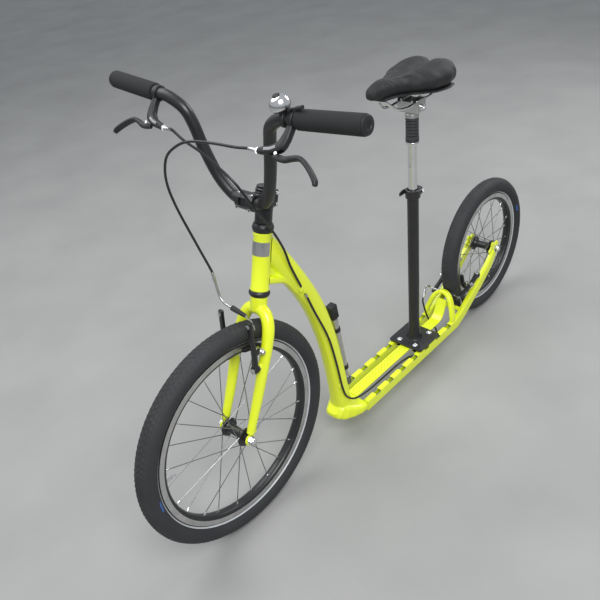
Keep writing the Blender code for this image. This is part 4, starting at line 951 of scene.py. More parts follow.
def bell():
    axis = grip_axis(1)
    bm = bmesh.new()
    rod(bm, bell_foot - axis * 0.0045, axis, 0.0144, 0.009, 40)
    obj = piece("bell_clamp", bm, PLASTIC, "steering", ["bell_base"])
    top = [(0, 0.008), (0.0075, 0.008), (0.0085, 0.0165), (0.0146, 0.0183), (0.0150, 0.0190),
        (0.0150, 0.0222), (0.0146, 0.0226), (0.0040, 0.0235), (0.0040, 0.0262), (0, 0.0262)]
    combine(obj, "UNION", [made(lathe, top, bell_foot, bell_axis, 36)])
    combine(obj, "DIFFERENCE", [made(rod, bell_foot - axis * 0.02, axis, 0.0113, 0.04, 40)])
    curve = [(0.0172 * math.cos(a) ** 0.8,
        0.0245 + 0.0163 * math.sin(a)) for a in [i * math.pi / 32 for i in range(1, 15)]]
    dome = [(0.0166, 0.0213), (0.0172, 0.0217), (0.0173, 0.0240), *curve, (0, 0.0410), (0, 0.0268),
        (0.0130, 0.0268), (0.0158, 0.0240), (0.0158, 0.0213)]
    turned("bell_cover", CHROME, dome, bell_foot, bell_axis, "steering", ["bell_dome"], 64)
    bm = bmesh.new()
    lathe(bm, [(0, 0.0395), (0.0062, 0.0395), (0.0064, 0.0410), (0.0052, 0.0422), (0, 0.0426)], bell_foot,
        bell_axis, 28)
    piece("bell_top_cap", bm, PLASTIC, "steering")
    pivot = bell_foot + bell_axis * 0.0205 + X * 0.0185
    bm = bmesh.new()
    path = smooth([pivot, pivot + X * 0.008 + Z * 0.001, pivot + X * 0.016 + Z * 0.003,
        pivot + X * 0.027 + Z * 0.006], 5)
    tube(bm, path, spread([0.0018, 0.0022, 0.0032, 0.0030], 5), spread([0.0020, 0.0024, 0.0040, 0.0040],
        5), 20, 2.6, Z)
    thumb = piece("bell_thumb_piece", bm, PLASTIC, "bell_thumb_lever", ["bell_lever"])
    weld(thumb, [made(rod, pivot - bell_axis * 0.0035, bell_axis, 0.0032, 0.0040, 20)], 0.0005, 2)


bell()
print("levers and bell done")

# %% [markdown]
# ## Frame
# The down tube is one big pressed tube that swells into a broad foot over the deck. A short bar and a web
# stiffen it behind the head tube, and small lugs carry the cable. All of it is welded by the remesh, then
# cut round the head tube.

# %% Down tube
TUBE_HALF_DEPTH = 0.0235
TOE_END = 0.3620
GUIDES = [at(0.0195, 0.2250, 0.487), at(0.0200, 0.2850, 0.3200), at(0.0200, 0.3030, 0.1620)]


def down_tube():
    path = [at(0, 0.160, 0.628), at(0, 0.190, 0.579), at(0, 0.232, 0.501), at(0, 0.270, 0.414),
        at(0, 0.295, 0.319), at(0, 0.308, 0.230), at(0, 0.314, 0.160), at(0, 0.318, 0.092)]
    widths = [0.0165, 0.0180, 0.0195, 0.0195, 0.0195, 0.0195, 0.0210, 0.0250]
    bm = bmesh.new()
    tube(bm, smooth(path, 5), spread(widths, 5), TUBE_HALF_DEPTH, 40, 2.5)
    obj = piece("down_tube_shell", bm, YELLOW, "frame", ["down_tube"])
    toe = [at(0, 0.2890, 0.0900), at(0, 0.2960, 0.0830), at(0, 0.3090, 0.0760), at(0, 0.3280, 0.0705),
        at(0, 0.3450, 0.0675), at(0, TOE_END, 0.0675)]
    bar = [at(0, 0.135, 0.553), at(0, 0.165, 0.540), at(0, 0.200, 0.520), at(0, 0.225, 0.480)]
    add = [made(tube, smooth(toe, 5), spread([0.018, 0.026, 0.035, 0.044, 0.0485, 0.0495], 5),
        spread([0.014, 0.022, 0.0225, 0.0185, 0.0160, 0.0150], 5), 36, 3.4),
        made(tube, smooth(bar, 5), 0.0130, 0.0085, 24, 3), made(block, at(0, 0.176, 0.568),
        (0.006, 0.050, 0.060))]
    for place in GUIDES:
        add.append(made(block, place - X * 0.0030, (0.0100, 0.0080, 0.0110), WORLD_AXES, 0.001))
    weld(obj, add, 0.0013, 4)
    cut = [made(block, steer(0, 0.045, 0.36), (0.10, 0.09, 0.30), STEER_AXES),
        made(rod, steer(0, 0, 0.20), STEER_UP, 0.0195, 0.30, 48)]
    combine(obj, "DIFFERENCE", cut, 50)
    print("down tube:", len(obj.data.polygons), "faces")


down_tube()
bm = bmesh.new()
for y, z in ((0.3115, 0.2600), (0.3095, 0.3300)):
    socket_bolt(bm, at(0, y + 0.0195, z), Y, 0.0042, 0.0030)
piece("boss_screws", bm, STEEL, "frame")

# %% [markdown]
# ## Deck
# Two hollow rails carry the deck. Slots are milled across their tops for grip, which shows the bare metal
# of the wall and the dark hollow below. The rails run on as the stays of the rear wheel. Between them
# lies a perforated strip, bent up at the back, where a small arch stiffens the frame.

# %% Rails and stays
RAIL_MIDDLE = 0.0425
RAIL_HALF = Vector((0.0075, 0.0155))
DECK_TOP = 0.083
GROOVE_PITCH = 0.054
GROOVE_FIRST = 0.406
GROOVES = 7
GROOVE_SIZE = (0.03, 0.019, 0.011)
REAR_BOSS_AXIS = Vector((0, -0.218, 0.976)).normalized()


def rear_brake_pivot(side):
    return at(0.0415 * side, 0.8930, 0.1535)


def rail(word, side):
    x = RAIL_MIDDLE * side
    centre_up = DECK_TOP - RAIL_HALF.y
    bend = [at(x, 0.771, centre_up), at(x, 0.795, 0.0755), at(x, 0.820, 0.0880), at(x, 0.855, 0.1085),
        at(x, 0.900, 0.1345), at(x, 0.950, 0.1670), at(0.0400 * side, 0.9850, 0.1935)]
    heights = spread([0.0155, 0.0150, 0.0150, 0.0150, 0.0150, 0.0135, 0.0115], 5)
    widths = spread([0.0075, 0.0075, 0.0075, 0.0075, 0.0075, 0.0072, 0.0060], 5)
    bm = bmesh.new()
    tube(bm, [at(x, TOE_END + 0.0003, centre_up)] + smooth(bend, 5), [RAIL_HALF.x] + widths,
        [RAIL_HALF.y] + heights, 32, 7)
    obj = piece(f"rail_and_stay_{word}", bm, YELLOW, "frame", [f"deck_rail_{word}"])
    cut = [made(block, at(x, 0.560, centre_up - 0.0004), (0.0110, 0.385, 0.0262), WORLD_AXES, 0.0015)]
    for i in range(GROOVES):
        cut.append(made(block, at(x, GROOVE_FIRST + GROOVE_PITCH * i, DECK_TOP), GROOVE_SIZE))
    combine(obj, "DIFFERENCE", cut, 40)
    bare_edges(obj)
    inner = REAR_HUB + X * side * DROPOUT_INNER
    bm = bmesh.new()
    rod(bm, inner, X * side, 0.0150, DROPOUT_THICK, 36)
    ends = piece(f"rear_dropout_{word}", bm, YELLOW, "frame")
    add = [made(rod, inner + Vector((0, -0.012, 0.0175)), X * side, 0.0085, DROPOUT_THICK, 28),
        made(rod, inner + Vector((0, 0.008, 0.012)), X * side, 0.0095, DROPOUT_THICK, 28),
        made(block, inner + X * side * (DROPOUT_THICK / 2) + Vector((0, -0.018, 0.004)),
        (DROPOUT_THICK, 0.028, 0.020), (X, Vector((0, 0.8, 0.6)), Vector((0, -0.6, 0.8))), 0.001)]
    weld(ends, add, 0.0007, 3)
    bm = bmesh.new()
    rod(bm, rear_brake_pivot(side) - REAR_BOSS_AXIS * 0.0120, REAR_BOSS_AXIS, 0.0066, 0.0160, 24)
    piece(f"rear_brake_boss_{word}", bm, YELLOW, "frame")
    place = REAR_HUB + X * side * (DROPOUT_INNER + DROPOUT_THICK / 2)
    slot_axes = (X, Vector((0, 0.94, -0.34)), Vector((0, 0.34, 0.94)))
    cut = [made(rod, place - X * 0.010, X, 0.0053, 0.020, 24), made(block, place + Y * 0.010 - Z * 0.004,
        (0.020, 0.022, 0.0106), slot_axes), made(rod, place + Vector((-0.01 * side, -0.013, 0.0195)),
        X * side, 0.0026, 0.03, 16)]
    combine(ends, "DIFFERENCE", cut, 50)
    nut_room = made(rod, place + X * side * (DROPOUT_THICK / 2 + 0.0001), X * side, 0.0118, 0.020, 32)
    lock_room = made(rod, place - X * side * (DROPOUT_THICK / 2 + 0.0201), X * side, 0.0108, 0.020, 32)
    axle_room = made(rod, place - X * 0.010, X, 0.0056, 0.020, 24)
    combine(obj, "DIFFERENCE", [nut_room, lock_room, axle_room], 40)


def bare_edges(obj):
    """The milled slots' walls show bare metal: those faces look along the deck, near its top."""
    obj.data.materials.append(STEEL)
    for face in obj.data.polygons:
        along_deck = face.center.y - FRONT_HUB.y
        high = face.center.z > DECK_TOP - 0.0066
        in_slot = any(abs(along_deck - GROOVE_FIRST - GROOVE_PITCH * i) < 0.0096 for i in range(GROOVES))
        squarely = max(abs(face.normal.y), abs(face.normal.z)) > 0.8
        face.material_index = 1 if high and in_slot and squarely else 0


rail("left", 1)
rail("right", -1)

# %% Foot strip, arch and bridge
STRIP_TOP = 0.0845
HOLE_ROWS = 56
HOLE_FIRST = 0.372
HOLE_PITCH = 0.0066
HOLE_RADIUS = 0.00155


def foot_strip():
    mid = STRIP_TOP - 0.002
    path = [at(0, TOE_END + 0.0003, mid), at(0, 0.728, mid)]
    path += smooth([at(0, 0.738, mid + 0.001), at(0, 0.7520, 0.0925), at(0, 0.7640, 0.1130),
        at(0, 0.7730, 0.1350)], 5)
    bm = bmesh.new()
    tube(bm, path, 0.0155, 0.0020, 32, 9)
    obj = piece("foot_strip", bm, YELLOW, "frame", ["deck_strip"])
    bm = bmesh.new()
    for i in range(HOLE_ROWS):
        y = HOLE_FIRST + HOLE_PITCH * i
        for x in ((-0.0095, 0.0, 0.0095) if i % 2 else (-0.0048, 0.0048)):
            rod(bm, at(x, y, mid - 0.006), Z, HOLE_RADIUS, 0.012, 12)
    combine(obj, "DIFFERENCE", [helper(bm)], 40)


foot_strip()
half = [at(0.0425, 0.7590, DECK_TOP + 0.0004), at(0.0422, 0.7600, 0.0930), at(0.0375, 0.7650, 0.1100),
    at(0.0270, 0.7735, 0.1360), at(0.0150, 0.7790, 0.1500)]
bm = bmesh.new()
tube(bm, smooth(half + [at(0, 0.7810, 0.1550)] + mirrored(half)[::-1], 6), 0.0095, 0.0060, 32, 3.6, Y)
piece("arch_strap", bm, YELLOW, "frame", ["rear_arch"])
bm = bmesh.new()
rod(bm, at(-0.0346, 0.806, 0.0930), X, 0.0065, 0.0692, 32)
piece("bridge_tube", bm, YELLOW, "frame", ["stay_bridge"])
print("deck done")

# %% [markdown]
# ## Seat mast
# A thick tube flares out onto a plate, which four bolts and two bars below clamp to the deck. At its top
# a split collar with a quick release grips the post. The post's spring hides in ribbed rubber bellows.

# %% Mast and plate
MAST_LEAN = Vector((0, 0.0225, 0.4235)).normalized()
MAST_FOOT = at(0, 0.6340, 0.0865)
COLLAR_LOW = 0.418
PLATE_TOP = 0.0915
PLATE_MIDDLE = 0.6350
PLATE_SIZE = (0.104, 0.094, 0.005)


def mast(t, x=0.0, y=0.0):
    return MAST_FOOT + MAST_LEAN * t + X * x + Y * y


def seat_mast():
    flare = [(0.0262 - 0.0119 * math.sin(a) ** 0.75,
        0.004 + 0.071 * (1 - math.cos(a))) for a in [i * math.pi / 20 for i in range(11)]]
    outline = [(0.0115, 0.003), (0.0262, 0.003), *flare, (0.0143, COLLAR_LOW - 0.0005),
        (0.0128, COLLAR_LOW), (0.0128, 0.4378), (0.0117, 0.4384), (0.0115, 0.4378)]
    turned("mast_tube", BLACK, outline, MAST_FOOT, MAST_LEAN, "frame", ["seat_mast"], 48)
    bm = bmesh.new()
    block(bm, at(0, PLATE_MIDDLE, 0.0890), PLATE_SIZE)
    upright = [e for e in bm.edges if abs(e.verts[0].co.z - e.verts[1].co.z) > 0.004]
    bmesh.ops.bevel(bm, geom=upright, offset=0.007, segments=6, profile=0.5, affect="EDGES", material=-1)
    rims = [e for e in bm.edges if len(e.link_faces) == 2 and e.calc_face_angle() > 1.2]
    bmesh.ops.bevel(bm, geom=rims, offset=0.0007, segments=2, profile=0.5, affect="EDGES", material=-1)
    piece("mast_plate", bm, BLACK, "frame")


def plate_bolts(side):
    return [at(0.0250 * side, PLATE_MIDDLE + 0.0330 * b, PLATE_TOP) for b in (-1, 1)]


seat_mast()
for word, side in (("left", 1), ("right", -1)):
    bm = bmesh.new()
    block(bm, at(0.0252 * side, PLATE_MIDDLE, 0.0735), (0.0160, 0.0860, 0.0050), WORLD_AXES, 0.0008)
    for place in plate_bolts(side):
        rod(bm, place - Z * 0.022, Z, 0.0030, 0.023, 16)
        lathe(bm, [(0, 0.0002), (0.0078, 0.0002), (0.0080, 0.0006), (0.0078, 0.0014), (0, 0.0014)], place,
            Z, 28)
        lathe(bm, [(0, 0.0014), (0.0060, 0.0014), (0.0062, 0.0024), (0.0056, 0.0036), (0.0042, 0.0044),
            (0.0026, 0.0046), (0.0026, 0.0030), (0, 0.0030)], place, Z, 28)
    piece(f"plate_bolts_{word}", bm, CHROME, "frame", [f"plate_clamp_{word}"])

# %% Collar and quick release


def collar():
    low, high = COLLAR_LOW + 0.0003, COLLAR_LOW + 0.022
    middle_up = COLLAR_LOW + 0.011
    bm = bmesh.new()
    lathe(bm, [(0.0131, low), (0.0172, low), (0.0184, low + 0.0010), (0.0186, low + 0.0024),
        (0.0186, high - 0.0024), (0.0184, high - 0.0010), (0.0172, high), (0.0131, high)], MAST_FOOT,
        MAST_LEAN, 48)
    obj = piece("collar_ring", bm, BLACK, "frame", ["seat_collar"])
    combine(obj, "UNION", [made(block, mast(middle_up, 0, 0.0205), (0.0200, 0.0140, 0.0200), WORLD_AXES,
        0.002)])
    cut = [made(block, mast(middle_up, 0, 0.0240), (0.0018, 0.0300, 0.0400)),
        made(rod, mast(middle_up, -0.03, 0.0225), X, 0.0029, 0.06, 20)]
    combine(obj, "DIFFERENCE", cut)
    lathed = [(0, -0.0165), (0.0026, -0.0165), (0.0026, 0.0103), (0.0052, 0.0103), (0.0055, 0.0108),
        (0.0055, 0.0150), (0.0048, 0.0162), (0.0022, 0.0162), (0.0022, 0.0140), (0, 0.0140)]
    turned("collar_nut", CHROME, lathed, mast(middle_up, 0, 0.0225), X, "frame",
        ["collar_bolt"], 28)
    pivot = mast(middle_up, -0.0165, 0.0225)
    bm = bmesh.new()
    handle = [(-0.0020, -0.0020), (-0.0065, -0.0140), (-0.0085, -0.0280), (-0.0070, -0.0440)]
    tube(bm, smooth([pivot + Vector((x, y, 0)) for x, y in handle], 6),
        spread([0.0050, 0.0055, 0.0065, 0.0050], 6), spread([0.0028, 0.0026, 0.0022, 0.0016], 6), 24, 3,
        Z)
    lever = piece("quick_lever", bm, BLACK, "quick_release", ["collar_lever"])
    combine(lever, "UNION", [made(rod, pivot - Z * 0.0065, Z, 0.0060, 0.0130, 32)])
    combine(lever, "DIFFERENCE", [made(block, pivot + Vector((0.0075, 0.00855, 0)),
        (0.0250, 0.0229, 0.0058))], 40)


collar()

# %% Post, bellows and spring
POST_RADIUS = 0.0111
POST_FOOT = 0.215
POST_TOP = 0.560
POST_BORE = 0.0082
POST_BORE_FOOT = 0.5100
PLUNGER_FOOT = 0.5450
CLAMP_LOW = 0.6170
BELLOWS_LOW = POST_TOP + 0.0003
BELLOWS_HIGH = CLAMP_LOW - 0.0003

post = [(0, POST_FOOT), (POST_RADIUS - 0.0005, POST_FOOT), (POST_RADIUS, POST_FOOT + 0.0005),
    (POST_RADIUS, 0.5530), (0.0120, 0.5536), (0.0150, 0.5542), (0.0155, 0.5550), (0.0155, 0.5592),
    (0.0150, POST_TOP), (POST_BORE, POST_TOP), (POST_BORE, POST_BORE_FOOT), (0, POST_BORE_FOOT)]
turned("post_tube", CHROME, post, MAST_FOOT, MAST_LEAN, "sliding_post", ["seat_post"], 56)
plunger = [(0, PLUNGER_FOOT), (0.0079, PLUNGER_FOOT), (0.0079, CLAMP_LOW), (0.0152, CLAMP_LOW),
    (0.0160, CLAMP_LOW + 0.0008), (0.0160, CLAMP_LOW + 0.0094), (0.0154, CLAMP_LOW + 0.0106),
    (0.0130, CLAMP_LOW + 0.013), (0, CLAMP_LOW + 0.013)]
turned("plunger_and_seat", STEEL, plunger, MAST_FOOT, MAST_LEAN, "sprung_saddle",
    ["saddle_plunger"], 48)
cup_top = BELLOWS_LOW + 0.014
folds = 6
pitch = (BELLOWS_HIGH - cup_top) / folds
ribs = []
for i in range(folds):
    for share in (0.0, 0.25, 0.40, 0.52, 0.64, 0.80):
        swell = max(0.0, math.sin(math.pi * min(1.0, share / 0.9))) ** 0.6
        ribs.append((0.0134 + 0.0024 * swell, cup_top + pitch * (i + share)))
bellows = [(0.0122, BELLOWS_LOW), (0.0154, BELLOWS_LOW), (0.0158, BELLOWS_LOW + 0.0006),
    (0.0158, cup_top - 0.0016), (0.0150, cup_top - 0.0006), *ribs, (0.0142, BELLOWS_HIGH),
    (0.0122, BELLOWS_HIGH)]
boot = turned("bellows_boot", RUBBER, bellows, MAST_FOOT, MAST_LEAN, "sprung_saddle",
    ["rubber_bellows"], 40, sharp=60)
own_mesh(boot)


COIL_RADIUS = 0.0101
WIRE_RADIUS = 0.0011


def coil_spring():
    across, other = frame_along(MAST_LEAN)
    low, high = BELLOWS_LOW + 0.0015, BELLOWS_HIGH - 0.0015
    turns, steps = 5, 20
    path = []
    for i in range(turns * steps + 1):
        angle = 2 * math.pi * i / steps
        round_post = across * math.cos(angle) + other * math.sin(angle)
        path.append(mast(low + (high - low) * i / (turns * steps)) + round_post * COIL_RADIUS)
    bm = bmesh.new()
    tube(bm, path, WIRE_RADIUS, count=10)
    spring = piece("coil_spring", bm, STEEL, "sprung_saddle", ["saddle_spring"])
    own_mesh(spring)


coil_spring()
bm = bmesh.new()
rod(bm, mast(0.497), MAST_LEAN, 0.01122, 0.010, 64)
mark = piece("post_mark", bm, GREY, "sliding_post")
combine(mark, "INTERSECT", [made(block, mast(0.502, 0.0, -0.0110), (0.0060, 0.0060, 0.0200))])
print("mast done")

# %% [markdown]
# ## Saddle
# A clamp block holds one rod bent into two runs, the rod holds a moulded shell, and the shell carries a
# cover. The padding starts as a slightly small loft, swells by a short cloth simulation and then gets its
# channel and its seams.

# %% Clamp, rods and shell
SADDLE_RAIL_X = 0.0215
SADDLE_RAIL_Z = 0.7420
SADDLE_ROD_RADIUS = 0.0034
CRADLE_TOP = 0.7500
CRADLE_NUT_Z = 0.7300


def saddle_clamp():
    base = mast(CLAMP_LOW + 0.0133)
    low, top = base.z + 0.002, CRADLE_TOP
    bm = bmesh.new()
    block(bm, Vector((0, base.y - 0.001, (low + top) / 2)), (0.0560, 0.0360, top - low), WORLD_AXES,
        0.0035, 4)
    obj = piece("clamp_cradle", bm, STEEL, "sprung_saddle", ["saddle_clamp"])
    cut = [made(block, Vector((0, base.y - 0.001, top)), (0.0250, 0.05, 0.012), WORLD_AXES, 0.003)]
    for side in (1, -1):
        x = SADDLE_RAIL_X * side
        cut.append(made(rod, Vector((x, base.y - 0.04, SADDLE_RAIL_Z)), Y, 0.0037, 0.08, 28))
        cut.append(made(block, Vector((x, base.y, SADDLE_RAIL_Z + 0.010)), (0.0070, 0.08, 0.020)))
        cut.append(made(block, Vector((x * 1.32, base.y - 0.001, CRADLE_NUT_Z)), (0.0016, 0.05, 0.012)))
    combine(obj, "DIFFERENCE", cut)
    bm = bmesh.new()
    place = Vector((0, base.y - 0.001, CRADLE_NUT_Z))
    for side in (1, -1):
        nut = [(0, 0.0275), (0.0074, 0.0275), (0.0076, 0.0283), (0.0060, 0.0285), (0.0062, 0.0325),
            (0.0050, 0.0337), (0.0026, 0.0337), (0.0026, 0.0315), (0, 0.0315)]
        lathe(bm, nut, place, X * side, 6 if side < 0 else 24)
    piece("clamp_nuts", bm, CHROME, "sprung_saddle")


saddle_clamp()
half = [at(SADDLE_RAIL_X, 0.7480, 0.7565), at(SADDLE_RAIL_X, 0.7300, 0.7475),
    at(SADDLE_RAIL_X, 0.7080, SADDLE_RAIL_Z), at(SADDLE_RAIL_X, 0.6950, SADDLE_RAIL_Z),
    at(SADDLE_RAIL_X, 0.6400, SADDLE_RAIL_Z), at(SADDLE_RAIL_X, 0.6200, SADDLE_RAIL_Z),
    at(0.0190, 0.5870, 0.7490), at(0.0110, 0.5620, 0.7700), at(0.0040, 0.5560, 0.7770)]
bm = bmesh.new()
tube(bm, smooth(half + mirrored(half)[::-1], 6), SADDLE_ROD_RADIUS, count=20)
piece("saddle_rods", bm, CHROME, "sprung_saddle", ["saddle_rails"])

# Stations along the saddle, each as distance behind the front hub, half width, top and base
SADDLE = [
    (0.5140, 0.0100, 0.8080, 0.7960),
    (0.5210, 0.0200, 0.8150, 0.7840),
    (0.5420, 0.0270, 0.8170, 0.7800),
    (0.5750, 0.0330, 0.8160, 0.7780),
    (0.6080, 0.0440, 0.8120, 0.7740),
    (0.6400, 0.0640, 0.8100, 0.7690),
    (0.6750, 0.0790, 0.8110, 0.7630),
    (0.7150, 0.0820, 0.8130, 0.7590),
    (0.7450, 0.0750, 0.8130, 0.7580),
    (0.7650, 0.0580, 0.8090, 0.7620),
    (0.7760, 0.0300, 0.8030, 0.7700),
]
SKIRT_LIFT = 0.0022
SWELL = 0.0045
CLOTH_PRESSURE = 4
CLOTH_FRAMES = 20


def saddle_shell():
    path = smooth([at(0, y, low + 0.0040) for y, half, _, low in SADDLE[2:-2]], 4)
    widths = spread([half * 0.86 for y, half, _, low in SADDLE[2:-2]], 4)
    bm = bmesh.new()
    tube(bm, path, widths, 0.0035, 40, 3.4)
    obj = piece("seat_shell", bm, PLASTIC, "sprung_saddle", ["saddle_shell"], 50)
    rooms = [made(block, at(0, 0.7480, 0.7540), (0.052, 0.020, 0.018), WORLD_AXES, 0.002),
        made(block, at(0, 0.5600, 0.7750), (0.030, 0.020, 0.018), WORLD_AXES, 0.002)]
    combine(obj, "DIFFERENCE", rooms, 50)


def padded_cover():
    stations = [at(0, y, (top + low + SKIRT_LIFT) / 2) for y, half, top, low in SADDLE]
    widths = [half - SWELL for y, half, top, low in SADDLE]
    depths = [(top - low - SKIRT_LIFT) / 2 - 0.0014 for y, half, top, low in SADDLE]
    bm = bmesh.new()
    tube(bm, smooth(stations, 4), spread(widths, 4), spread(depths, 4), 48, 2.7)
    obj = piece("padded_saddle", bm, COVER, "sprung_saddle", ["saddle_cushion"], 80)
    remesh = obj.modifiers.new("even", "REMESH")
    remesh.mode = "VOXEL"
    remesh.voxel_size = 0.0045
    bake_modifiers(obj)
    swell_up(obj)
    for _ in range(2):
        obj.modifiers.new("round", "SUBSURF").levels = 1
    for modifier in obj.modifiers:
        modifier.render_levels = 1
    bake_modifiers(obj)
    press_seams(obj)


def swell_up(obj):
    """A short cloth run under pressure, with each point's travel capped."""
    start = [v.co.copy() for v in obj.data.vertices]
    cloth = obj.modifiers.new("swell", "CLOTH")
    cloth.settings.use_pressure = True
    cloth.settings.uniform_pressure_force = CLOTH_PRESSURE
    cloth.settings.effector_weights.gravity = 0
    cloth.settings.tension_stiffness = 18
    cloth.settings.quality = 6
    scene = bpy.context.scene
    for frame_number in range(1, CLOTH_FRAMES + 1):
        scene.frame_set(frame_number)
    bake_modifiers(obj)
    for vertex, before in zip(obj.data.vertices, start):
        travel = vertex.co - before
        if travel.length > SWELL:
            travel *= SWELL / travel.length
        vertex.co = before + travel
        vertex.co.z = max(vertex.co.z, before.z - 0.0008)
    scene.frame_set(1)


def half_width_at(y):
    """The saddle's half width at a distance behind the front hub."""
    for (y0, h0, *_), (y1, h1, *_) in zip(SADDLE, SADDLE[1:]):
        if y <= y1:
            return h0 + (h1 - h0) * max(0.0, (y - y0) / (y1 - y0))
    return SADDLE[-1][1]


def press_seams(obj):
    """A wide channel down the middle, a seam along each lobe and one across the nose, all pressed in."""
    normals = [v.normal.copy() for v in obj.data.vertices]
    for vertex, normal in zip(obj.data.vertices, normals):
        y = vertex.co.y - FRONT_HUB.y
        x = abs(vertex.co.x)
        tail = min(1.0, max(0.0, (y - 0.728) / 0.045))
        vertex.co.y -= 0.020 * tail * math.exp(-(x / 0.015) ** 2)
        if normal.z < 0.15:
            continue
        half = half_width_at(y)
        face_up = min(1.0, normal.z * 1.5)
        rear = min(1.0, max(0.0, (y - 0.650) / 0.08))
        ends = min(1.0, max(0.0, (y - 0.565) / 0.03)) * min(1.0, max(0.0, (0.785 - y) / 0.03))
        sink = (0.0042 + 0.0050 * rear) * ends * math.exp(-(x / 0.0105) ** 2)
        sink -= 0.0045 * rear * math.exp(-((x - 0.040) / 0.022) ** 2)
        lobe = half * (0.30 + 0.22 * math.sin(math.pi * min(1.0, max(0.0, (y - 0.56) / 0.22))))
        sink += 0.0013 * ends * math.exp(-((x - lobe) / 0.0016) ** 2)
        sink += 0.0011 * math.exp(-((y - 0.5650 - x * 0.5) / 0.0018) ** 2)
        vertex.co -= normal * sink * face_up


saddle_shell()
padded_cover()
print("saddle done")

# %% [markdown]
# ## Brakes
# Each arm is a bent forging with a barrel that turns on a boss. A pad on a stud hangs from it, and a wire
# spring pushes it away from the rim. A bent metal tube leads the cable across, and rubber bellows cover
# its end.

# %% Rim brake arms
PAD_REST = 0.0200
ARM_LIFT = 0.0120
PAD_HALF_LENGTH = 0.026


def rim_brake(prefix, side, hub, pivot, outward, pad_spot, tip):
    word = "left" if side > 0 else "right"
    body = f"{prefix}_arm_{word}"
    along = (tip - pivot).normalized()
    lift = outward * ARM_LIFT
    length = (tip - pivot).length
    outside = X * side
    bends = [pivot + lift + along * 0.004, pivot + lift + along * 0.3 * length + outside * 0.0030,
        pivot + lift + along * 0.62 * length + outside * 0.0020, tip + lift]
    bm = bmesh.new()
    tube(bm, smooth(bends, 6), spread([0.0070, 0.0062, 0.0055, 0.0062], 6),
        spread([0.0055, 0.0048, 0.0042, 0.0038], 6), 28, 3.2)
    obj = piece(f"{prefix}_forging_{word}", bm, BLACK, body, [f"{prefix}_{word}"])
    level = pivot + lift + along * (pad_spot - pivot).dot(along)
    web = [Vector((level.x, pad_spot.y, pad_spot.z)), Vector((level.x + 0.002 * side, level.y, level.z))]
    add = [made(rod, pivot + outward * 0.0060, outward, 0.0088, 0.0120, 36),
        made(tube, web, 0.0060, 0.0045, 20, 2.4)]
    weld(obj, add, 0.0007, 3)
    bite = [made(rod, pivot - outward * 0.01, outward, 0.0053, 0.04, 28),
        made(block, pivot + lift * 1.55 + along * 0.5 * length + outside * 0.0026,
        (0.0050, 0.0050, 0.5 * length), (X, outward, along), 0.001)]
    combine(obj, "DIFFERENCE", bite, 50)
    bm = bmesh.new()
    bolt = [(0, 0.0150), (0.0050, 0.0150), (0.0050, 0.0180), (0.0066, 0.0182), (0.0068, 0.0200),
        (0.0058, 0.0212), (0.0030, 0.0212), (0.0030, 0.0194), (0, 0.0194)]
    lathe(bm, bolt, pivot, outward, 28)
    stud_root = Vector((level.x + 0.0060 * side, pad_spot.y, pad_spot.z))
    rod(bm, pad_spot + outside * 0.003, outside, 0.0029, abs(stud_root.x - pad_spot.x) + 0.003, 20)
    for place, way in ((stud_root, outside), (stud_root - outside * 0.0122, -outside)):
        lathe(bm, [(0, 0), (0.0068, 0), (0.0068, 0.0012), (0.0052, 0.0030), (0, 0.0030)], place, way, 24)
    lathe(bm, [(0, 0.0030), (0.0052, 0.0030), (0.0052, 0.0066), (0.0042, 0.0076), (0, 0.0080)], stud_root,
        outside, 6)
    lathe(bm, [(0, 0), (0.0046, 0), (0.0046, 0.0028), (0.0036, 0.0036), (0, 0.0036)],
        tip + lift - along * 0.007 + outward * 0.0034, outward, 6)
    piece(f"{prefix}_bolts_{word}", bm, STEEL, body)
    bm = bmesh.new()
    low_end = pivot + outward * 0.0052 - outside * 0.0074
    wire = [low_end, low_end + along * 0.012 - outside * 0.001,
        low_end + along * 0.032 + outside * 0.0022, low_end + along * 0.46 * length + outside * 0.0050]
    tube(bm, smooth(wire, 5), 0.00075, count=10)
    for coil in range(3):
        lathe(bm, [(0.0070, 0.0034 + 0.0008 * coil), (0.0077, 0.0038 + 0.0008 * coil),
            (0.0070, 0.0042 + 0.0008 * coil), (0.0066, 0.0038 + 0.0008 * coil)], pivot, outward, 28)
    piece(f"{prefix}_spring_{word}", bm, STEEL, body)
    bm = bmesh.new()
    reach = pad_spot - hub
    reach.x = 0
    sweep = PAD_HALF_LENGTH / reach.length
    arc = [hub + Matrix.Rotation(sweep * k / 5, 3, "X") @ reach + X * pad_spot.x for k in range(-5, 6)]
    tube(bm, arc, [0.0036] + [0.0050] * 9 + [0.0036], [0.0034] + [0.0045] * 9 + [0.0034], 24, 5)
    pad = piece(f"{prefix}_pad_{word}", bm, PLASTIC, body)
    cut = []
    for k in (-3, -1, 1, 3):
        turn = Matrix.Rotation(sweep * k / 5, 3, "X")
        cut.append(made(block, hub + turn @ reach + X * (pad_spot.x - 0.0050 * side),
            (0.0032, 0.0012, 0.0200), (X, turn @ X.cross(reach.normalized()), turn @ reach.normalized())))
    combine(pad, "DIFFERENCE", cut, 40)


for side in (1, -1):
    rim_brake("front_brake", side, FRONT_HUB, front_brake_pivot(side), -Y,
        FRONT_HUB + Vector((side * PAD_REST, 0.0700, 0.1890)), at(0.0400 * side, 0.0700, 0.5130))
    rim_brake("rear_brake", side, REAR_HUB, rear_brake_pivot(side), REAR_BOSS_AXIS,
        REAR_HUB + Vector((side * PAD_REST, -0.1420, -0.0440)), at(0.0400 * side, 0.7920, 0.1230))

# %% Noodles and their boots
NOODLE_RADIUS = 0.0027


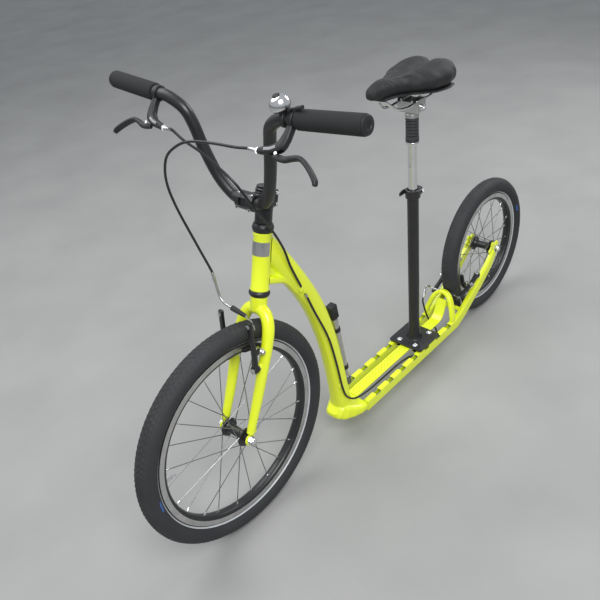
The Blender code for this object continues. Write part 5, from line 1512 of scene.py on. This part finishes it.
def noodle(word, body, points, boot_from, boot_to, anchor):
    bm = bmesh.new()
    tube(bm, smooth(points, 7), NOODLE_RADIUS, count=20)
    start = points[0]
    lathe(bm, [(0, -0.001), (0.0034, -0.001), (0.0036, 0), (0.0036, 0.0075), (0.0030, 0.0085),
        (0, 0.0085)], start, points[1] - start, 20)
    piece(f"{word}_noodle_tube", bm, STEEL, body, [f"{word}_noodle"])
    along = (boot_to - boot_from).normalized()
    length = (boot_to - boot_from).length
    ribs = 6
    outline = [(0.0028, 0), (0.0058, 0)]
    for i in range(ribs):
        base = length * 0.08 + length * 0.8 * i / ribs
        thick = 0.0058 - 0.0014 * i / ribs
        outline += [(thick - 0.0012, base), (thick, base + length * 0.066)]
    outline += [(0.0036, length * 0.92), (0.0034, length), (0.0028, length)]
    turned(f"{word}_noodle_boot", RUBBER, outline, boot_from, along, body, steps=24,
        sharp=60)
    bm = bmesh.new()
    tail = [boot_to - along * 0.002, anchor, anchor + X * 0.010 - Z * 0.001,
        anchor + X * 0.014 - Z * 0.012]
    tube(bm, smooth(tail, 5), 0.0008, count=8)
    lathe(bm, [(0, 0), (0.0013, 0), (0.0013, 0.0100), (0, 0.0106)], tail[-1] + Z * 0.002, -Z, 12)
    piece(f"{word}_cable_tail", bm, STEEL, body)


FRONT_NOODLE = [at(-0.0549, 0.0700, 0.5793), at(-0.0530, 0.0700, 0.5600), at(-0.0490, 0.0690, 0.5400),
    at(-0.0400, 0.0680, 0.5280), at(-0.0260, 0.0680, 0.5240), at(0.0050, 0.0660, 0.5225),
    at(0.0300, 0.0640, 0.5215)]
REAR_NOODLE = [at(-0.0462, 0.7526, 0.1446), at(-0.0500, 0.7640, 0.1540), at(-0.0540, 0.7780, 0.1570),
    at(-0.0500, 0.7890, 0.1500), at(-0.0400, 0.7925, 0.1450), at(-0.0150, 0.7930, 0.1440),
    at(0.0150, 0.7930, 0.1440), at(0.0300, 0.7925, 0.1440)]
noodle("front", "steering", FRONT_NOODLE, at(-0.0130, 0.0672, 0.5234), at(0.0290, 0.0641, 0.5216),
    at(0.0370, 0.0600, 0.5205))
noodle("rear", "frame", REAR_NOODLE, at(-0.0130, 0.7930, 0.1440), at(0.0290, 0.7925, 0.1440),
    at(0.0370, 0.7920, 0.1440))

# %% [markdown]
# ## Cables and pump
# The cables are held at both ends and along the frame, so they keep the routes of the imported model. The
# one that crosses the headset stays where it is put, tied to neither the bar nor the frame.

# %% Cables
FRONT_CABLE = [lever_point(0.1095, 0.060, 1), lever_point(0.0980, 0.060, 1), at(0.075, 0.0780, 0.8670),
    at(0.030, 0.0700, 0.8690), at(-0.016, 0.0600, 0.8680), at(-0.050, 0.0540, 0.8560),
    at(-0.083, 0.0500, 0.8300), at(-0.1010, 0.0500, 0.7850), at(-0.0995, 0.0550, 0.7310),
    at(-0.0770, 0.0640, 0.6520), at(-0.0580, 0.0700, 0.5950), at(-0.0550, 0.0700, 0.5800)]
REAR_CABLE_UPPER = [lever_point(0.1095, 0.060, -1), lever_point(0.0980, 0.060, -1),
    at(-0.0750, 0.0900, 0.8480), at(-0.0450, 0.0970, 0.8300), at(-0.0100, 0.0990, 0.8100),
    at(0.0220, 0.1030, 0.7850), at(0.0340, 0.1130, 0.7550), at(0.0350, 0.1330, 0.7130),
    at(0.0310, 0.1660, 0.6560), at(0.0280, 0.1880, 0.6060), at(0.0260, 0.2000, 0.5600),
    at(0.0252, 0.2180, 0.5080), at(0.0252, 0.2206, 0.4990)]
REAR_CABLE_LOWER = [at(0.0252, 0.2300, 0.4760), at(0.0252, 0.2480, 0.4200), at(0.0252, 0.2790, 0.3300),
    at(0.0252, 0.2940, 0.2450), at(0.0262, 0.3020, 0.1700), at(0.0275, 0.3120, 0.1290),
    at(0.0285, 0.3400, 0.1010), at(0.0270, 0.3900, 0.0870), at(0.0252, 0.4500, 0.0820),
    at(0.0252, 0.5300, 0.0800), at(0.0252, 0.5700, 0.0720), at(0.0252, 0.5950, 0.0640),
    at(0.0252, 0.6900, 0.0620), at(0.0100, 0.7250, 0.0600), at(-0.0120, 0.7350, 0.0640),
    at(-0.0240, 0.7370, 0.0800), at(-0.0330, 0.7370, 0.1030), at(-0.0430, 0.7410, 0.1300),
    at(-0.0460, 0.7520, 0.1440)]


CABLE_RADIUS = 0.0025


def cable(name, points, body, node):
    bm = bmesh.new()
    tube(bm, smooth(points, 8), CABLE_RADIUS, count=16)
    return piece(name, bm, CABLE, body, [node], 60)


def ferrule(name, body, ends):
    bm = bmesh.new()
    for start, towards in ends:
        lathe(bm, [(0, 0), (0.0031, 0), (0.0032, 0.0006), (0.0032, 0.0090), (0.0028, 0.0100),
            (0, 0.0100)], start, towards - start, 20)
    piece(name, bm, STEEL, body)


cable("front_brake_cable", FRONT_CABLE, "steering", "front_cable")
cable("rear_lower_cable", REAR_CABLE_LOWER, "frame", "rear_cable")
upper = cable("rear_upper_cable", REAR_CABLE_UPPER, None, "rear_cable_upper")
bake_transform(upper)
ferrule("bar_ferrules", "steering", [(FRONT_CABLE[0], FRONT_CABLE[1]),
    (REAR_CABLE_UPPER[0], REAR_CABLE_UPPER[1]), (FRONT_CABLE[-1], FRONT_CABLE[-2])])
ferrule("frame_ferrules", "frame", [(REAR_CABLE_LOWER[0], REAR_CABLE_LOWER[1]),
    (REAR_CABLE_LOWER[-1], REAR_CABLE_LOWER[-2])])

# %% Pump
pump_low, pump_high = at(0, 0.3515, 0.128), at(0, 0.3295, 0.343)
pump_along = (pump_high - pump_low).normalized()


def pump():
    tube_outline = [(0, 0), (0.0072, 0), (0.0080, 0.0010), (0.0086, 0.0020), (0.0090, 0.0040),
        (0.0090, 0.0300), (0.0082, 0.0310), (0.0082, 0.2000), (0.0090, 0.2010), (0.0090, 0.2120),
        (0.0085, 0.2140), (0, 0.2140)]
    turned("pump_cylinder", STEEL, tube_outline, pump_low, pump_along, "frame", ["pump_barrel"],
        40)
    bm = bmesh.new()
    for i in range(9):
        base = 0.0050 + 0.0027 * i
        lathe(bm, [(0.0088, base), (0.0094, base + 0.0005), (0.0094, base + 0.0013),
            (0.0088, base + 0.0018)], pump_low, pump_along, 36)
    piece("pump_grip_rings", bm, PLASTIC, "frame")
    head_axes = (X, Vector((0, pump_along.z, -pump_along.y)), pump_along)
    bm = bmesh.new()
    block(bm, pump_low + pump_along * 0.2345, (0.0200, 0.0220, 0.0390), head_axes, 0.0042, 5)
    head = piece("pump_top_block", bm, PLASTIC, "frame", ["pump_head"])
    cut = [made(rod, pump_low + pump_along * 0.2440 + head_axes[1] * 0.004, head_axes[1], 0.0046, 0.012,
        24)]
    for i in range(4):
        for side in (1, -1):
            cut.append(made(block, pump_low + pump_along * (0.2230 + 0.0032 * i) + X * side * 0.0100,
                (0.0014, 0.0140, 0.0012), head_axes))
    combine(head, "DIFFERENCE", cut)
    bm = bmesh.new()
    for t in (0.055, 0.175):
        lathe(bm, [(0.0084, t), (0.0099, t + 0.0004), (0.0099, t + 0.0106), (0.0084, t + 0.0110)],
            pump_low, pump_along, 36)
        block(bm, pump_low + pump_along * (t + 0.0055) - head_axes[1] * 0.0115, (0.0110, 0.0080, 0.0100),
            head_axes, 0.001)
    piece("pump_clips", bm, PLASTIC, "frame")


pump()
print("pump done")

# %% [markdown]
# ## Floor
# The floor only catches the shadow.

# %% Floor


FLOOR_HALF = 14


def studio_floor():
    mat = finish("pale_floor", (0.36, 0.36, 0.35), (0.28, 0.28, 0.275), 0.6, 0.80, 0.05, 3, 60, 0)
    bm = bmesh.new()
    bmesh.ops.create_grid(bm, x_segments=1, y_segments=1, size=FLOOR_HALF)
    mesh = bpy.data.meshes.new("studio_floor")
    bm.to_mesh(mesh)
    bm.free()
    mesh.materials.append(mat)
    floor = bpy.data.objects.new("studio_floor", mesh)
    bpy.context.scene.collection.objects.link(floor)
    floor.location.z = -0.001


studio_floor()
